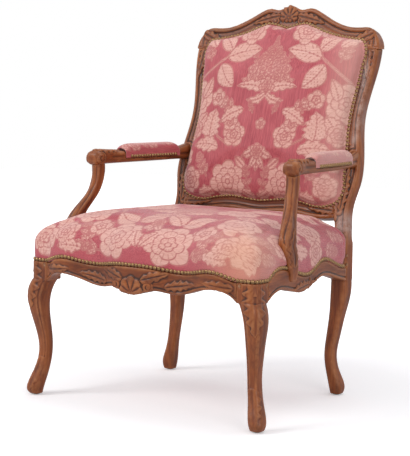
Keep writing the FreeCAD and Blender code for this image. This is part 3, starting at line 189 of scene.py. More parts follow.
def write_rows(mesh, name, rows):
    """Store three numbers for each vertex under a name that materials can read."""
    layer = mesh.attributes.new(name, "FLOAT_VECTOR", "POINT")
    layer.data.foreach_set("vector", rows.astype(np.float32).ravel())


def coat(mesh, material):
    """Give a mesh one finish and smooth shading."""
    mesh.materials.clear()
    mesh.materials.append(material)
    mesh.shade_smooth()


def neighbour_mean(values, edges, counts):
    """Each vertex's mean over its neighbours, column by column."""
    size = len(counts)
    columns = []
    for column in values.T:
        total = np.bincount(edges[:, 0], weights=column[edges[:, 1]], minlength=size)
        total += np.bincount(edges[:, 1], weights=column[edges[:, 0]], minlength=size)
        columns.append(total / counts)
    return np.stack(columns, 1)


def relief(mesh, rounds):
    """How far each vertex stands above the smoothed surface: ridges above zero, hollows below."""
    flat = np.empty(len(mesh.edges) * 2, dtype=np.int32)
    mesh.edges.foreach_get("vertices", flat)
    edges = flat.reshape(-1, 2)
    counts = np.maximum(np.bincount(edges.ravel(), minlength=len(mesh.vertices)), 1)
    spots = places(mesh)
    smooth = spots
    for _ in range(rounds):
        smooth = neighbour_mean(smooth, edges, counts)
    return ((spots - smooth) * facings(mesh)).sum(1)


def ease(values, low, high):
    """Zero below low, one above high, and a smooth step between."""
    share = np.clip((values - low) / (high - low), 0, 1)
    return share * share * (3 - 2 * share)


def bump(values, centre, width):
    """A rounded ridge of height one about a centre."""
    return np.exp(-(((values - centre) / width) ** 2))


print("wood cells", WOOD_CELL, "mm")

# %% [markdown]
# ## Carved motifs as height fields
# A carver draws a leaf or a shell on the wood and cuts round it. Here each motif is a function of two
# coordinates on the surface, across and along, and gives a height in millimetres. The outline comes from a
# half width along the leaf, lobes come from a wave added to it, and veins are shallow grooves.

# %% Leaf, shell, blossom and scroll
def leaf_height(across, along, length, width, lobes, rise):
    """An acanthus leaf from its root to its tip: lobed outline, domed halves, midrib and side veins."""
    share = np.clip(along / length, 0, 1)
    side = np.abs(across)
    lobe = 1 + 0.22 * np.sin(2 * math.pi * lobes * share - 1.2)
    half = 0.5 * width * np.sin(math.pi * share ** 0.7) ** 0.75 * lobe + 0.01
    across_share = np.clip(side / half, 0, 1)
    inside = ((side < half) & (along > 0) & (along < length)).astype(float)
    dome = np.sqrt(1 - across_share ** 2) * (0.55 + 0.45 * across_share)
    veins = 0.25 * np.cos(2 * math.pi * lobes * (share - 0.25 * across_share)) * across_share
    midrib = 0.45 * bump(side, 0, 0.07 * width)
    return inside * rise * (dome + veins - midrib + 0.25)


def shell_height(across, up, radius, ribs, rise):
    """A fan of ribs that opens upwards from its hinge, with a scalloped edge."""
    angle = np.arctan2(across, up)
    reach = np.hypot(across, up)
    rib = np.abs(np.cos(0.5 * ribs * angle))
    edge = radius * (0.9 + 0.1 * rib) * (0.8 + 0.2 * np.cos(angle))
    inside = ease(edge - reach, 0, 2) * ease(2.2 - np.abs(angle), 0, 0.2)
    cup = 0.35 + 0.65 * np.clip(reach / radius, 0, 1)
    return inside * rise * cup * (0.45 + 0.55 * rib)


def blossom_height(across, up, radius, petals, rise):
    """A flat flower: rounded petals about a button."""
    angle = np.arctan2(across, up)
    reach = np.hypot(across, up)
    petal = np.abs(np.cos(0.5 * petals * angle))
    inside = ease(radius * (0.62 + 0.38 * petal) - reach, 0, 1.5)
    button = ease(0.24 * radius - reach, 0, 1.5)
    cup = 0.4 + 0.6 * np.clip(reach / radius, 0, 1)
    return rise * (inside * cup * (0.5 + 0.5 * petal) + 0.5 * button)


def scroll_height(across, up, radius, turns, rise):
    """A volute: a raised band that winds in to its eye."""
    angle = np.arctan2(up, across) / (2 * math.pi)
    reach = np.hypot(across, up)
    pitch = radius / turns
    phase = (reach / pitch - angle) % 1
    band = np.sin(math.pi * phase) ** 0.6
    eye = ease(0.28 * radius - reach, 0, 1)
    return rise * ease(radius - reach, 0, 1.5) * np.maximum(band, eye)


print("leaf, shell, blossom and scroll ready")

# %% [markdown]
# ## Wood finish
# Old waxed beech is warm brown-red and rubbed pale on the edges that hands reach. Its hollows are nearly
# black: partly the wax and dust that settle there, partly painted shade where less light falls into the
# recesses. The grain is noise stretched along the piece. Each piece stores its own lengthwise coordinates,
# so that one material serves posts, rails and arms. A second attribute says how far a point stands above
# the smoothed surface, and that drives the dark hollows with their painted shade and the worn ridges.

# %% Node helpers
def new_material(name):
    """An empty node material with its shader and node tree."""
    material = bpy.data.materials.new(name)
    material.use_nodes = True
    return material, material.node_tree, material.node_tree.nodes["Principled BSDF"]


def plug(tree, socket, given):
    """Give a socket a number, a colour or another node's output."""
    if isinstance(given, (int, float)):
        socket.default_value = given
    elif isinstance(given, tuple):
        socket.default_value = (*given, 1)
    else:
        tree.links.new(given, socket)


def plug_all(tree, node, given):
    """Give a node's sockets what a table holds under their names."""
    for name, value in given.items():
        plug(tree, node.inputs[name], value)


def add_node(tree, kind, given):
    """A new node of a kind, with its sockets filled from a table."""
    node = tree.nodes.new(kind)
    plug_all(tree, node, given)
    return node


def attribute(tree, name, output):
    """Read a stored attribute."""
    node = tree.nodes.new("ShaderNodeAttribute")
    node.attribute_name = name
    return node.outputs[output]


def noise(tree, vector, scale, detail=3.0, roughness=0.5, stretch=(1, 1, 1), distortion=0.0):
    """Noise on a stretched coordinate."""
    mapping = add_node(tree, "ShaderNodeMapping", {"Vector": vector})
    mapping.inputs["Scale"].default_value = stretch
    node = add_node(tree, "ShaderNodeTexNoise", {
        "Vector": mapping.outputs[0],
        "Scale": scale,
        "Detail": detail,
        "Roughness": roughness,
        "Distortion": distortion,
    })
    return node.outputs["Fac"]


def spread(tree, value, low, high, start=0.0, end=1.0):
    """Map a value from one range to another, held at its ends."""
    node = add_node(tree, "ShaderNodeMapRange", {
        "Value": value,
        "From Min": low,
        "From Max": high,
        "To Min": start,
        "To Max": end,
    })
    return node.outputs["Result"]


def ramp(tree, value, stops):
    """Colours along a value."""
    node = add_node(tree, "ShaderNodeValToRGB", {"Fac": value})
    while len(node.color_ramp.elements) < len(stops):
        node.color_ramp.elements.new(0.5)
    for element, (spot, colour) in zip(node.color_ramp.elements, stops):
        element.position = spot
        element.color = (*colour, 1)
    return node.outputs["Color"]


def blend(tree, share, under, over):
    """Mix two colours by a share; each may be a colour or an output."""
    node = tree.nodes.new("ShaderNodeMix")
    node.data_type = "RGBA"
    plug_all(tree, node, {"Factor": share, "A": under, "B": over})
    return node.outputs["Result"]


def calculate(tree, operation, first, second):
    """One sum on two values or outputs."""
    node = tree.nodes.new("ShaderNodeMath")
    node.operation = operation
    plug(tree, node.inputs[0], first)
    plug(tree, node.inputs[1], second)
    return node.outputs[0]


def times(tree, first, second):
    """The product of two values or outputs."""
    return calculate(tree, "MULTIPLY", first, second)


def plus(tree, first, second):
    """The sum of two values or outputs."""
    return calculate(tree, "ADD", first, second)


def add_bump(tree, shader, height, distance, strength):
    """Feed a height into the shader's normal."""
    node = add_node(tree, "ShaderNodeBump", {"Height": height, "Distance": distance, "Strength": strength})
    tree.links.new(node.outputs["Normal"], shader.inputs["Normal"])


def object_place(tree):
    """Object coordinates."""
    return tree.nodes.new("ShaderNodeTexCoord").outputs["Object"]


# %% Carved and waxed wood
SHADED_WOOD = (0.11, 0.025, 0.009)
# Near black for the hollows: the wax and dust that settle there, and painted shade in the recesses.
WAX_AND_SHADE_IN_HOLLOWS = (0.022, 0.008, 0.005)
RUBBED_RIDGE = (0.50, 0.20, 0.07)
BARE_STRIP = (0.46, 0.34, 0.3)


def carved_wood():
    """Waxed red-brown beech with dark wax and painted shade in its hollows, rubbed on its ridges."""
    material, tree, shader = new_material("waxed_carved_wood")
    grain = attribute(tree, "grain", "Vector")
    height = attribute(tree, "relief", "Fac")
    fibres = noise(tree, grain, 260, detail=4, stretch=(1, 1, 0.035))
    bands = noise(tree, grain, 38, detail=3, stretch=(1, 1, 0.12), distortion=0.6)
    clouds = noise(tree, grain, 9, detail=2, roughness=0.6)
    patches = noise(tree, grain, 26, detail=5, roughness=0.7)
    wood = ramp(tree, plus(tree, times(tree, bands, 0.6), times(tree, fibres, 0.4)), (
        (0.3, (0.070, 0.016, 0.006)),
        (0.46, (0.185, 0.042, 0.010)),
        (0.6, (0.30, 0.078, 0.017)),
        (0.75, (0.43, 0.130, 0.030)),
    ))
    wood = blend(tree, spread(tree, clouds, 0.35, 0.65, 0.0, 0.45), wood, SHADED_WOOD)
    # Painted shade: the hollows darken towards near black, partly settled wax and dust, partly shade in the
    # recesses.
    wood = blend(tree, spread(tree, height, -0.08, -0.6, 0.0, 0.8), wood, WAX_AND_SHADE_IN_HOLLOWS)
    rubbed = times(tree, spread(tree, height, 0.06, 0.5), spread(tree, patches, 0.42, 0.62, 0.25, 1))
    wood = blend(tree, times(tree, rubbed, 0.42), wood, RUBBED_RIDGE)
    worn = times(tree, attribute(tree, "wear", "Fac"), spread(tree, patches, 0.38, 0.6))
    wood = blend(tree, worn, wood, BARE_STRIP)
    plug_all(tree, shader, {
        "Base Color": wood,
        "Roughness": spread(tree, patches, 0.3, 0.7, 0.34, 0.52),
        "Specular IOR Level": 0.3,
        "Coat Weight": 0.08,
        "Coat Roughness": 0.22,
    })
    add_bump(tree, shader, plus(tree, fibres, patches), 0.0004, 0.5)
    return material


wood_finish = carved_wood()
print("finish", wood_finish.name)

# %% [markdown]
# ## Mouldings of the back frame
# The back frame is a flat picture frame laid back at a slope, so its carving is laid out in its own plane:
# x across and a rise along the slope. The moulding follows the outer edge: a fat roll, a sunk quirk and a
# shallow hollow that runs in to the nails. The distance to the outer edge comes from the pieces themselves,
# by a nearest point search over the vertices on their outer sides.

# %% The back's plane and its outer edge
BACK_PLANE_Y = 161.0
BACK_BASE = 392.0
BACK_RAKE = math.radians(15.68)
BACK_MIDDLE = (0.0, 265.0)
RIM_BAND = (-16, -8)
RIM_FOOT = 14
SIDE_FACING = 0.35
SIDE_LEVEL = 0.9
RIM_THINNING = 3
frame_nodes = ("crest_rail", "rear_post_left", "rear_post_right", "back_bottom_rail")


def back_axes(rows):
    """Rows of x, y and z as their shares across, up the back's slope and forward of it."""
    up = rows[:, 1] * math.sin(BACK_RAKE) + rows[:, 2] * math.cos(BACK_RAKE)
    forward = -rows[:, 1] * math.cos(BACK_RAKE) + rows[:, 2] * math.sin(BACK_RAKE)
    return rows[:, 0], up, forward


def back_plane(spots):
    """Coordinates in the back's own plane: across, up its slope and forward of it."""
    return back_axes(spots - (0, BACK_PLANE_Y, BACK_BASE))


def nearest_distance(points, targets):
    """Distance from each point to the nearest of the targets, all rows of three coordinates."""
    tree = kdtree.KDTree(len(targets))
    for index, target in enumerate(targets):
        tree.insert(target, index)
    tree.balance()
    return np.array([tree.find(point)[2] for point in points])


def flat_rows(first, second):
    """Rows of two coordinates and a zero."""
    return np.stack([first, second, np.zeros(len(first))], 1)


wood_pieces = {node: wood_copy(node) for node in frame_nodes}
outline = []
for node, piece in wood_pieces.items():
    across, up, forward = back_plane(places(piece.data))
    side, rise, facing = back_axes(facings(piece.data))
    outward = side * (across - BACK_MIDDLE[0]) + rise * (up - BACK_MIDDLE[1])
    rim = (np.abs(facing) < SIDE_FACING) & (np.hypot(side, rise) > SIDE_LEVEL) & (outward > 0)
    rim &= (forward > RIM_BAND[0]) & (forward < RIM_BAND[1]) & (up > RIM_FOOT)
    outline.append(flat_rows(across[rim], up[rim])[::RIM_THINNING])
outline = np.concatenate(outline)
print(len(outline), "points on the outer edge")

# %% Moulding, boss and leaves of the back frame
ROLL_AT, QUIRK_AT, HOLLOW_AT = 6.0, 13.0, 20.0
BOSS_UP = 556
CARVING_SHARE = 0.75
MOTIF_FLOOR = 0.05


def frame_moulding(distance):
    """Height of the frame's moulding at a distance from its outer edge."""
    roll = 1.5 * bump(distance, ROLL_AT, 4.5)
    quirk = -3.0 * bump(distance, QUIRK_AT, 1.7)
    hollow = -1.8 * bump(distance, HOLLOW_AT, 5.5)
    return roll + quirk + hollow


def crest_carving(across, up):
    """The crest rail's shell boss with its blossom, a leaf and a volute each side, and shoulder leaves."""
    side = np.abs(across)
    fan = shell_height(across, up - BOSS_UP, radius=34, ribs=11, rise=8.5)
    flower = blossom_height(across, up - BOSS_UP, radius=14, petals=5, rise=7.0)
    droop = (up - 561 + 0.18 * (side - 30)) + 0.0009 * (side - 30) ** 2
    dome_leaf = leaf_height(droop, side - 26, length=82, width=24, lobes=5, rise=5.0)
    volute = scroll_height(side - 38, up - 549, radius=11, turns=1.4, rise=4.5)
    slant = (up - 505) * 0.8 - (side - 236) * 0.35
    shoulder = leaf_height(slant, 262 - side, length=74, width=26, lobes=4, rise=4.6)
    return np.maximum.reduce([fan, flower, dome_leaf, volute, shoulder])


def stile_carving(across, up):
    """Leaves on the stiles: one under the shoulder, one above the lower corner."""
    side = np.abs(across)
    high = side - 252 + 0.10 * (up - 440)
    low = side - 243 - 0.06 * (up - 90)
    upper = leaf_height(high, 486 - up, length=90, width=24, lobes=5, rise=4.0)
    lower = leaf_height(low, up - 62, length=112, width=24, lobes=6, rise=4.4)
    return np.maximum(upper, lower)


def bottom_carving(across, up):
    """Corner leaves of the bottom rail."""
    side = np.abs(across)
    line = up - 60 - 0.05 * (235 - side)
    return leaf_height(line, 238 - side, length=90, width=22, lobes=5, rise=4.0)


def over_plain(motif, plain):
    """A motif where it stands up, and the plain moulding everywhere else."""
    return np.where(motif > MOTIF_FLOOR, motif, plain)


def carve_back(piece, carving):
    """Cut a back piece's moulding and motifs into its front, and let the motifs lap over its edge."""
    across, up, forward = back_plane(places(piece.data))
    facing = back_axes(facings(piece.data))[2]
    distance = nearest_distance(flat_rows(across, up), outline)
    front = ease(facing, 0.25, 0.8) * ease(up, 12, 34)
    motif = CARVING_SHARE * carving(across, up)
    heights = front * over_plain(motif, frame_moulding(distance) * ease(distance, 0, 3))
    lip = ease(facing, -0.6, 0.1) * (1 - front) * ease(-forward, 40, 2) * ease(up, 30, 60)
    push(piece, heights + lip * np.clip(0.45 * motif, 0, 3))


back_carvings = {
    "crest_rail": crest_carving,
    "rear_post_left": stile_carving,
    "rear_post_right": stile_carving,
    "back_bottom_rail": bottom_carving,
}
for node, carving in back_carvings.items():
    carve_back(wood_pieces[node], carving)
    print(node, len(wood_pieces[node].data.vertices), "vertices")

# %% [markdown]
# ## Finishing a carved piece
# The finish needs three things from a piece: where a point lies along its grain, how far it stands above
# the surface about it, and how much it has been rubbed. They are stored on the vertices after the carving,
# because a material can't see neighbouring points by itself. Only one stile has a worn strip, where its
# polish is gone.

# %% Grain, relief and wear on a finished piece
GRAIN_ORDER = {"x": (1, 2, 0), "y": (0, 2, 1), "z": (0, 1, 2)}
RELIEF_ROUNDS = 10


def finish_wood(node, piece, axis, wear=0.0):
    """Store a carved piece's attributes, give it the finish and let it stand for its node."""
    mesh = piece.data
    write_rows(mesh, "grain", places(mesh)[:, GRAIN_ORDER[axis]] * MM)
    write_value(mesh, "relief", relief(mesh, RELIEF_ROUNDS))
    write_value(mesh, "wear", wear)
    coat(mesh, wood_finish)
    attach(piece, "root")
    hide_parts(node)


def stile_wear(piece):
    """The pale rubbed strip beside the nails of the viewer's right stile, and at the foot of it."""
    across, up, forward = back_plane(places(piece.data))
    strip = bump(across, 250, 9) * ease(up, 190, 260) * ease(up, 480, 420)
    foot = bump(up, 30, 26) * ease(across, 225, 245)
    return np.clip(0.75 * strip + 0.8 * foot, 0, 1)


for node in frame_nodes:
    axis = "x" if node in ("crest_rail", "back_bottom_rail") else "z"
    wear = stile_wear(wood_pieces[node]) if node == "rear_post_right" else 0.0
    finish_wood(node, wood_pieces[node], axis, wear)
print(len(frame_nodes), "back frame pieces finished")

# %% [markdown]
# ## The seat rails
# The front rail bows forward and carries a shell between two leafy scrolls. The side rails have a leaf on
# their belly. A bead runs along every lower edge, with a sunk line above it. The lower edge itself is found
# from the piece: for each place along the rail, the lowest vertex of its face.

# %% Bead along the lower edge
EDGE_STEP = 6.0
BEAD_AT, EDGE_QUIRK_AT = 3.0, 8.5


def lower_edge(along, height, front):
    """Height of the rail's lower edge at each vertex, from the lowest vertices in bins along it."""
    bins = np.floor((along - along.min()) / EDGE_STEP).astype(int)
    lowest = np.full(bins.max() + 1, np.inf)
    np.minimum.at(lowest, bins[front], height[front])
    centres = along.min() + (np.arange(len(lowest)) + 0.5) * EDGE_STEP
    known = np.isfinite(lowest)
    return np.interp(along, centres[known], lowest[known])


def bead(distance):
    """Height of the bead and its sunk line at a distance above the lower edge."""
    return 1.3 * bump(distance, BEAD_AT, 3.2) - 2.2 * bump(distance, EDGE_QUIRK_AT, 1.8)


# %% Shell, scrolls and leaves of the rails
RAIL_CARVING_SHARE = 0.62
COVER_LINE = 340
BELLY_Y = -54


def front_rail_carving(across, height):
    """A shell on the middle of the rail between leafy scrolls that run out to the legs."""
    side = np.abs(across)
    shell = shell_height(across, height - 284, radius=40, ribs=9, rise=8.0)
    hinge = blossom_height(across, height - 290, radius=11, petals=5, rise=5.0)
    inner_line = height - 316 - 0.28 * (side - 30)
    outer_line = height - 303 - 0.16 * (side - 90)
    bracket_line = height - 322 + 0.1 * (side - 200)
    inner = leaf_height(inner_line, side - 26, length=70, width=24, lobes=4, rise=4.6)
    outer = leaf_height(outer_line, side - 84, length=84, width=22, lobes=5, rise=4.2)
    volute = scroll_height(side - 46, height - 301, radius=13, turns=1.5, rise=4.4)
    bracket = leaf_height(bracket_line, 268 - side, length=76, width=22, lobes=4, rise=3.6)
    return np.maximum.reduce([shell, hinge, inner, outer, volute, bracket])


def side_rail_carving(along, height):
    """A leaf each way from the belly of the side rail, with a blossom between them."""
    forward_line = height - 302 - 0.1 * (along + 60)
    backward_line = height - 300 + 0.1 * (along + 40)
    forward = leaf_height(forward_line, -along - 62, length=88, width=24, lobes=5, rise=4.0)
    backward = leaf_height(backward_line, along + 46, length=92, width=24, lobes=5, rise=4.0)
    flower = blossom_height(along - BELLY_Y, height - 302, radius=15, petals=5, rise=5.0)
    return np.maximum.reduce([forward, backward, flower])


def blank(node):
    """A wood copy of a node, with its vertices' places and facings."""
    piece = wood_copy(node)
    return piece, places(piece.data), facings(piece.data)


def carve_rail(node, along_axis, carving):
    """Cut a rail's bead and motifs into its outer face, below the cover."""
    piece, spots, normals = blank(node)
    along, height = spots[:, along_axis], spots[:, 2]
    outward = -normals[:, 1] if along_axis == 0 else normals[:, 0] * np.sign(spots[:, 0])
    distance = height - lower_edge(along, height, outward > 0.2)
    face = ease(outward, 0.3, 0.75) * ease(COVER_LINE - height, -4, 8)
    motif = RAIL_CARVING_SHARE * carving(along, height)
    push(piece, face * over_plain(motif, bead(distance) * ease(distance, -1, 2)))
    finish_wood(node, piece, "xy"[along_axis])
    print(node, len(spots), "vertices")


carve_rail("front_seat_rail", 0, front_rail_carving)
carve_rail("side_seat_rail_right", 1, side_rail_carving)
carve_rail("side_seat_rail_left", 1, side_rail_carving)

# %% [markdown]
# ## The front legs
# A cabriole leg is worked round its outward diagonal: a crisp arris down the front, a cartouche with a leaf
# on the knee, and a leaf that laps over the foot. Angles about the leg's own centre line place them, with
# zero facing straight out from the seat's corner.

# %% Carving of the front legs
LEG_CARVING_SHARE = 0.5
KNEE_TOP, KNEE_FOOT = 338.0, 212.0
LEG_ACROSS, LEG_FORWARD = 300.5, 293


def carve_front_leg(hand):
    """The leg on the viewer's right for a hand of 1, on the left for -1."""
    node = "front_leg_right" if hand > 0 else "front_leg_left"
    piece, spots, normals = blank(node)
    height = spots[:, 2]
    outward = (hand * normals[:, 0] - normals[:, 1]) / math.sqrt(2)
    sideways = (hand * normals[:, 0] + normals[:, 1]) / math.sqrt(2)
    turn = np.arctan2(sideways, outward)
    diagonal = (hand * spots[:, 0] - LEG_ACROSS + spots[:, 1] + LEG_FORWARD) / math.sqrt(2)
    level = ease(np.abs(normals[:, 2]), 0.95, 0.7)
    arris = 1.6 * bump(turn, 0, 0.3) * ease(height, 30, 70) * ease(height, 250, 210)
    edges = 0.9 * bump(np.abs(turn), 1.57, 0.16) - 1.0 * bump(np.abs(turn), 1.2, 0.12)
    edges = edges * ease(height, 60, 100) * ease(height, 330, 280)
    knee_length = KNEE_TOP - KNEE_FOOT
    knee = leaf_height(diagonal, KNEE_TOP - height, length=knee_length, width=44, lobes=6, rise=4.6)
    cartouche = shell_height(diagonal, 322 - height, radius=21, ribs=7, rise=5.4)
    foot = leaf_height(diagonal, 96 - height, length=84, width=34, lobes=5, rise=3.4)
    toe = bump(height, 15, 9) * ease(outward, 0.3, 0.9) * 2.0
    motif = LEG_CARVING_SHARE * np.maximum.reduce([knee, cartouche, foot]) * ease(outward, 0.15, 0.5)
    heights = over_plain(motif, arris + edges) + toe
    push(piece, heights * level * ease(346 - height, 0, 10) * ease(height, 2, 8))
    finish_wood(node, piece, "z")
    return piece


for hand in (1, -1):
    piece = carve_front_leg(hand)
    print(piece.name, len(piece.data.vertices), "vertices")

# %% [markdown]
# ## Arms and their supports
# The arm ends in a knuckle that rolls over the support: a volute on each side and a leaf on top. The
# support rises from the rail in a long whip, with a ridge down its front and a leaf at its foot.

# %% Carving of arms and supports
KNUCKLE_Y, KNUCKLE_Z = -119.0, 571.0
ARM_LINE = ((-135, 289), (0, 279), (160, 264), (250, 250))
SUPPORT_ACROSS = ((320, 311), (395, 313.5), (455, 302), (510, 287.5), (565, 287))
SUPPORT_FORWARD = ((320, -149), (374, -163), (402, -174), (455, -150), (510, -121), (565, -114))


def follow(values, line):
    """A centre line's place at each value, between the points that it is given by."""
    return np.interp(values, *zip(*line))


def carve_arm(node):
    """Cut the knuckle's volutes, the leaf behind them and the arm's side hollows."""
    piece, spots, normals = blank(node)
    y, z = spots[:, 1], spots[:, 2]
    across = np.abs(spots[:, 0]) - follow(y, ARM_LINE)
    side = ease(np.abs(normals[:, 0]), 0.45, 0.8)
    top = ease(normals[:, 2], 0.25, 0.7)
    volute = scroll_height(y - KNUCKLE_Y, z - KNUCKLE_Z, radius=15, turns=1.6, rise=3.0)
    leaf = leaf_height(across, y + 126, length=92, width=34, lobes=5, rise=3.4)
    hollow = -1.6 * bump(z, KNUCKLE_Z + 2, 5) * ease(y, -92, -70)
    line = -1.2 * bump(np.abs(across), 9, 2) * ease(y, -44, -20)
    push(piece, side * over_plain(volute, hollow) + top * over_plain(leaf, line))
    finish_wood(node, piece, "y")
    return piece


def carve_support(node):
    """Cut the support's front ridge, its side hollows and the leaves at its foot."""
    piece, spots, normals = blank(node)
    height = spots[:, 2]
    across = np.abs(spots[:, 0]) - follow(height, SUPPORT_ACROSS)
    middle_y = follow(height, SUPPORT_FORWARD)
    front = ease(-normals[:, 1], 0.2, 0.7)
    side = ease(np.abs(normals[:, 0]), 0.5, 0.9)
    outer = ease(normals[:, 0] * np.sign(spots[:, 0]), 0.4, 0.8)
    ridge = 1.8 * bump(across, 0, 3.5) - 1.4 * bump(np.abs(across), 7.5, 2.2)
    leaf = leaf_height(across, height - 344, length=84, width=27, lobes=5, rise=2.2)
    side_leaf = leaf_height(spots[:, 1] - middle_y, height - 350, length=92, width=34, lobes=5, rise=1.8)
    hollow = -1.3 * bump(spots[:, 1], middle_y, 6) * ease(height, 430, 455)
    heights = front * over_plain(leaf, ridge * ease(height, 380, 420))
    push(piece, heights + np.where(side_leaf > MOTIF_FLOOR, outer * side_leaf, side * hollow))
    finish_wood(node, piece, "z")
    return piece


for side in ("left", "right"):
    for piece in (carve_arm(f"arm_{side}"), carve_support(f"arm_support_{side}")):
        print(piece.name, len(piece.data.vertices), "vertices")

# %% [markdown]
# ## Padded cloth
# The seat, the back and the armrests are horsehair under stretched damask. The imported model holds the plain
# skin of each. Rays aimed at a point inside it from all round find its outer face, and a square grid is
# laid over those hits, so that the mesh is even and its rim lies on the nail line. The grid then swells as
# cloth with a little air pressure while its rim is held, which gives the soft crown that a lathe or a loft
# never has.

# %% Finding a skin's outer face with rays
RAY_REACH = 0.7
RAY_STOP = 0.001
TURNS = 240
LEVELS = 64
EDGE_HALVINGS = 9


def ray_tree(node):
    """A CAD node's faces, sorted so that rays find them quickly."""
    form = node_form(node)
    tree = BVHTree.FromBMesh(form)
    form.free()
    return tree


def fill_round(turns, known, values):
    """Values at every turn of a circle, from the turns at which they are known."""
    circle = 2 * math.pi
    spots = np.concatenate([turns[known] - circle, turns[known], turns[known] + circle])
    return np.interp(turns, spots, np.tile(values[known], 3))


class Skin:
    """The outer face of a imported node, seen from a point inside it, in a frame of its own."""

    def __init__(self, node, centre, right, forward, up, lowest):
        self.tree = ray_tree(node)
        self.centre = Vector(centre)
        self.axes = [Vector(axis).normalized() for axis in (right, forward, up)]
        self.lowest = math.radians(lowest)

    def direction(self, turn, tilt):
        """A unit vector from the centre at a turn about the up axis and a tilt above the level."""
        right, forward, up = self.axes
        level = right * math.cos(turn) + forward * math.sin(turn)
        return level * math.cos(tilt) + up * math.sin(tilt)

    def reach(self, turn, tilt):
        """Distance from the centre to the outer face, or nothing where the ray meets no cloth."""
        way = self.direction(turn, tilt)
        spot = self.tree.ray_cast(self.centre + way * RAY_REACH, -way, RAY_REACH - RAY_STOP)[0]
        return None if spot is None else (spot - self.centre).length

    def edge_tilt(self, turn):
        """The lowest tilt at which a ray still meets the cloth."""
        tilt = math.pi / 2
        step = (math.pi / 2 - self.lowest) / LEVELS
        while tilt > self.lowest and self.reach(turn, tilt) is not None:
            tilt -= step
        high, low = tilt + step, tilt
        for _ in range(EDGE_HALVINGS):
            middle = (high + low) / 2
            if self.reach(turn, middle) is None:
                low = middle
            else:
                high = middle
        return high

    def profiles(self, notch_tilt):
        """Evenly spaced points from the crown to the rim for every turn, with notches bridged."""
        turns = np.linspace(0, 2 * math.pi, TURNS, endpoint=False)
        edges = np.array([self.edge_tilt(turn) for turn in turns])
        whole = edges < math.radians(notch_tilt)
        edges = fill_round(turns, whole, edges)
        tilts = math.pi / 2 + (edges[:, None] - math.pi / 2) * np.arange(LEVELS + 1) / LEVELS
        reaches = np.full(tilts.shape, np.nan)
        for row in np.flatnonzero(whole):
            for column, tilt in enumerate(tilts[row]):
                found = self.reach(turns[row], tilt)
                reaches[row, column] = np.nan if found is None else found
        for column in range(LEVELS + 1):
            known = np.isfinite(reaches[:, column])
            if known.any():
                reaches[:, column] = fill_round(turns, known, reaches[:, column])
        lines = np.empty((*tilts.shape, 3))
        for row, turn in enumerate(turns):
            rays = zip(tilts[row], reaches[row])
            spots = np.array([self.centre + self.direction(turn, tilt) * reach for tilt, reach in rays])
            lengths = np.concatenate([[0], np.cumsum(np.linalg.norm(np.diff(spots, axis=0), axis=1))])
            even = np.linspace(0, lengths[-1], LEVELS + 1)
            lines[row] = np.stack([np.interp(even, lengths, spots[:, axis]) for axis in range(3)], 1)
        return lines


def lay_grid(lines, cells):
    """A square grid laid over the profiles, its outer edge on the rim."""
    form = bmesh.new()
    bmesh.ops.create_grid(form, x_segments=cells, y_segments=cells, size=1)
    for vert in form.verts:
        share = min(1.0, max(abs(vert.co.x), abs(vert.co.y)))
        turn = math.atan2(vert.co.y, vert.co.x) % (2 * math.pi) / (2 * math.pi) * TURNS
        row, part = int(turn) % TURNS, turn % 1
        level = share * LEVELS
        column = min(int(level), LEVELS - 1)
        rest = level - column
        near = lines[row, column] * (1 - rest) + lines[row, column + 1] * rest
        after = lines[(row + 1) % TURNS, column] * (1 - rest) + lines[(row + 1) % TURNS, column + 1] * rest
        vert.co = near * (1 - part) + after * part
    return form

# %% [markdown]
# ## Swelling the cloth
# Cloth that is nailed down and stuffed bulges between its nails. A sheet could be pushed up by a formula,
# but a cloth simulation finds where it goes tight by itself, so each pad is blown up a little while its rim
# is held. Only the outward part of the movement is kept, up to a cap, so that no wall sinks into the wood.
# The rim is turned in first, and the open underside is filled last, because subdividing one face of
# hundreds of sides takes minutes.

# %% Turning the rim in, swelling and closing the underside
UNDER_STEP = 3.4
PAD_PRESSURE = 4.0
SWELL_FRAMES = 20
HELD_DEPTH, FREE_DEPTH = 4, 30
TINY = 1e-6


def turn_under(form, centre, up):
    """Turn the rim in under the pad by the thickness of a hem."""
    rim = [edge for edge in form.edges if edge.is_boundary]
    made = bmesh.ops.extrude_edge_only(form, edges=rim)["geom"]
    turned = [item for item in made if isinstance(item, bmesh.types.BMVert)]
    for vert in turned:
        inward = Vector(centre) - vert.co
        inward -= Vector(up) * inward.dot(Vector(up))
        vert.co += inward.normalized() * UNDER_STEP * MM
    bmesh.ops.recalc_face_normals(form, faces=form.faces)
    return turned


def fill_under(pad, up):
    """Fill across under a finished pad with triangles, so that it is one closed form."""
    form = bmesh.new()
    form.from_mesh(pad.data)
    facing_out = sum((face.normal.dot(up) * face.calc_area() for face in form.faces))
    if facing_out < 0:
        bmesh.ops.reverse_faces(form, faces=form.faces)
    filled = bmesh.ops.holes_fill(form, edges=[edge for edge in form.edges if edge.is_boundary], sides=0)
    bmesh.ops.triangulate(form, faces=filled["faces"])
    form.to_mesh(pad.data)
    form.free()


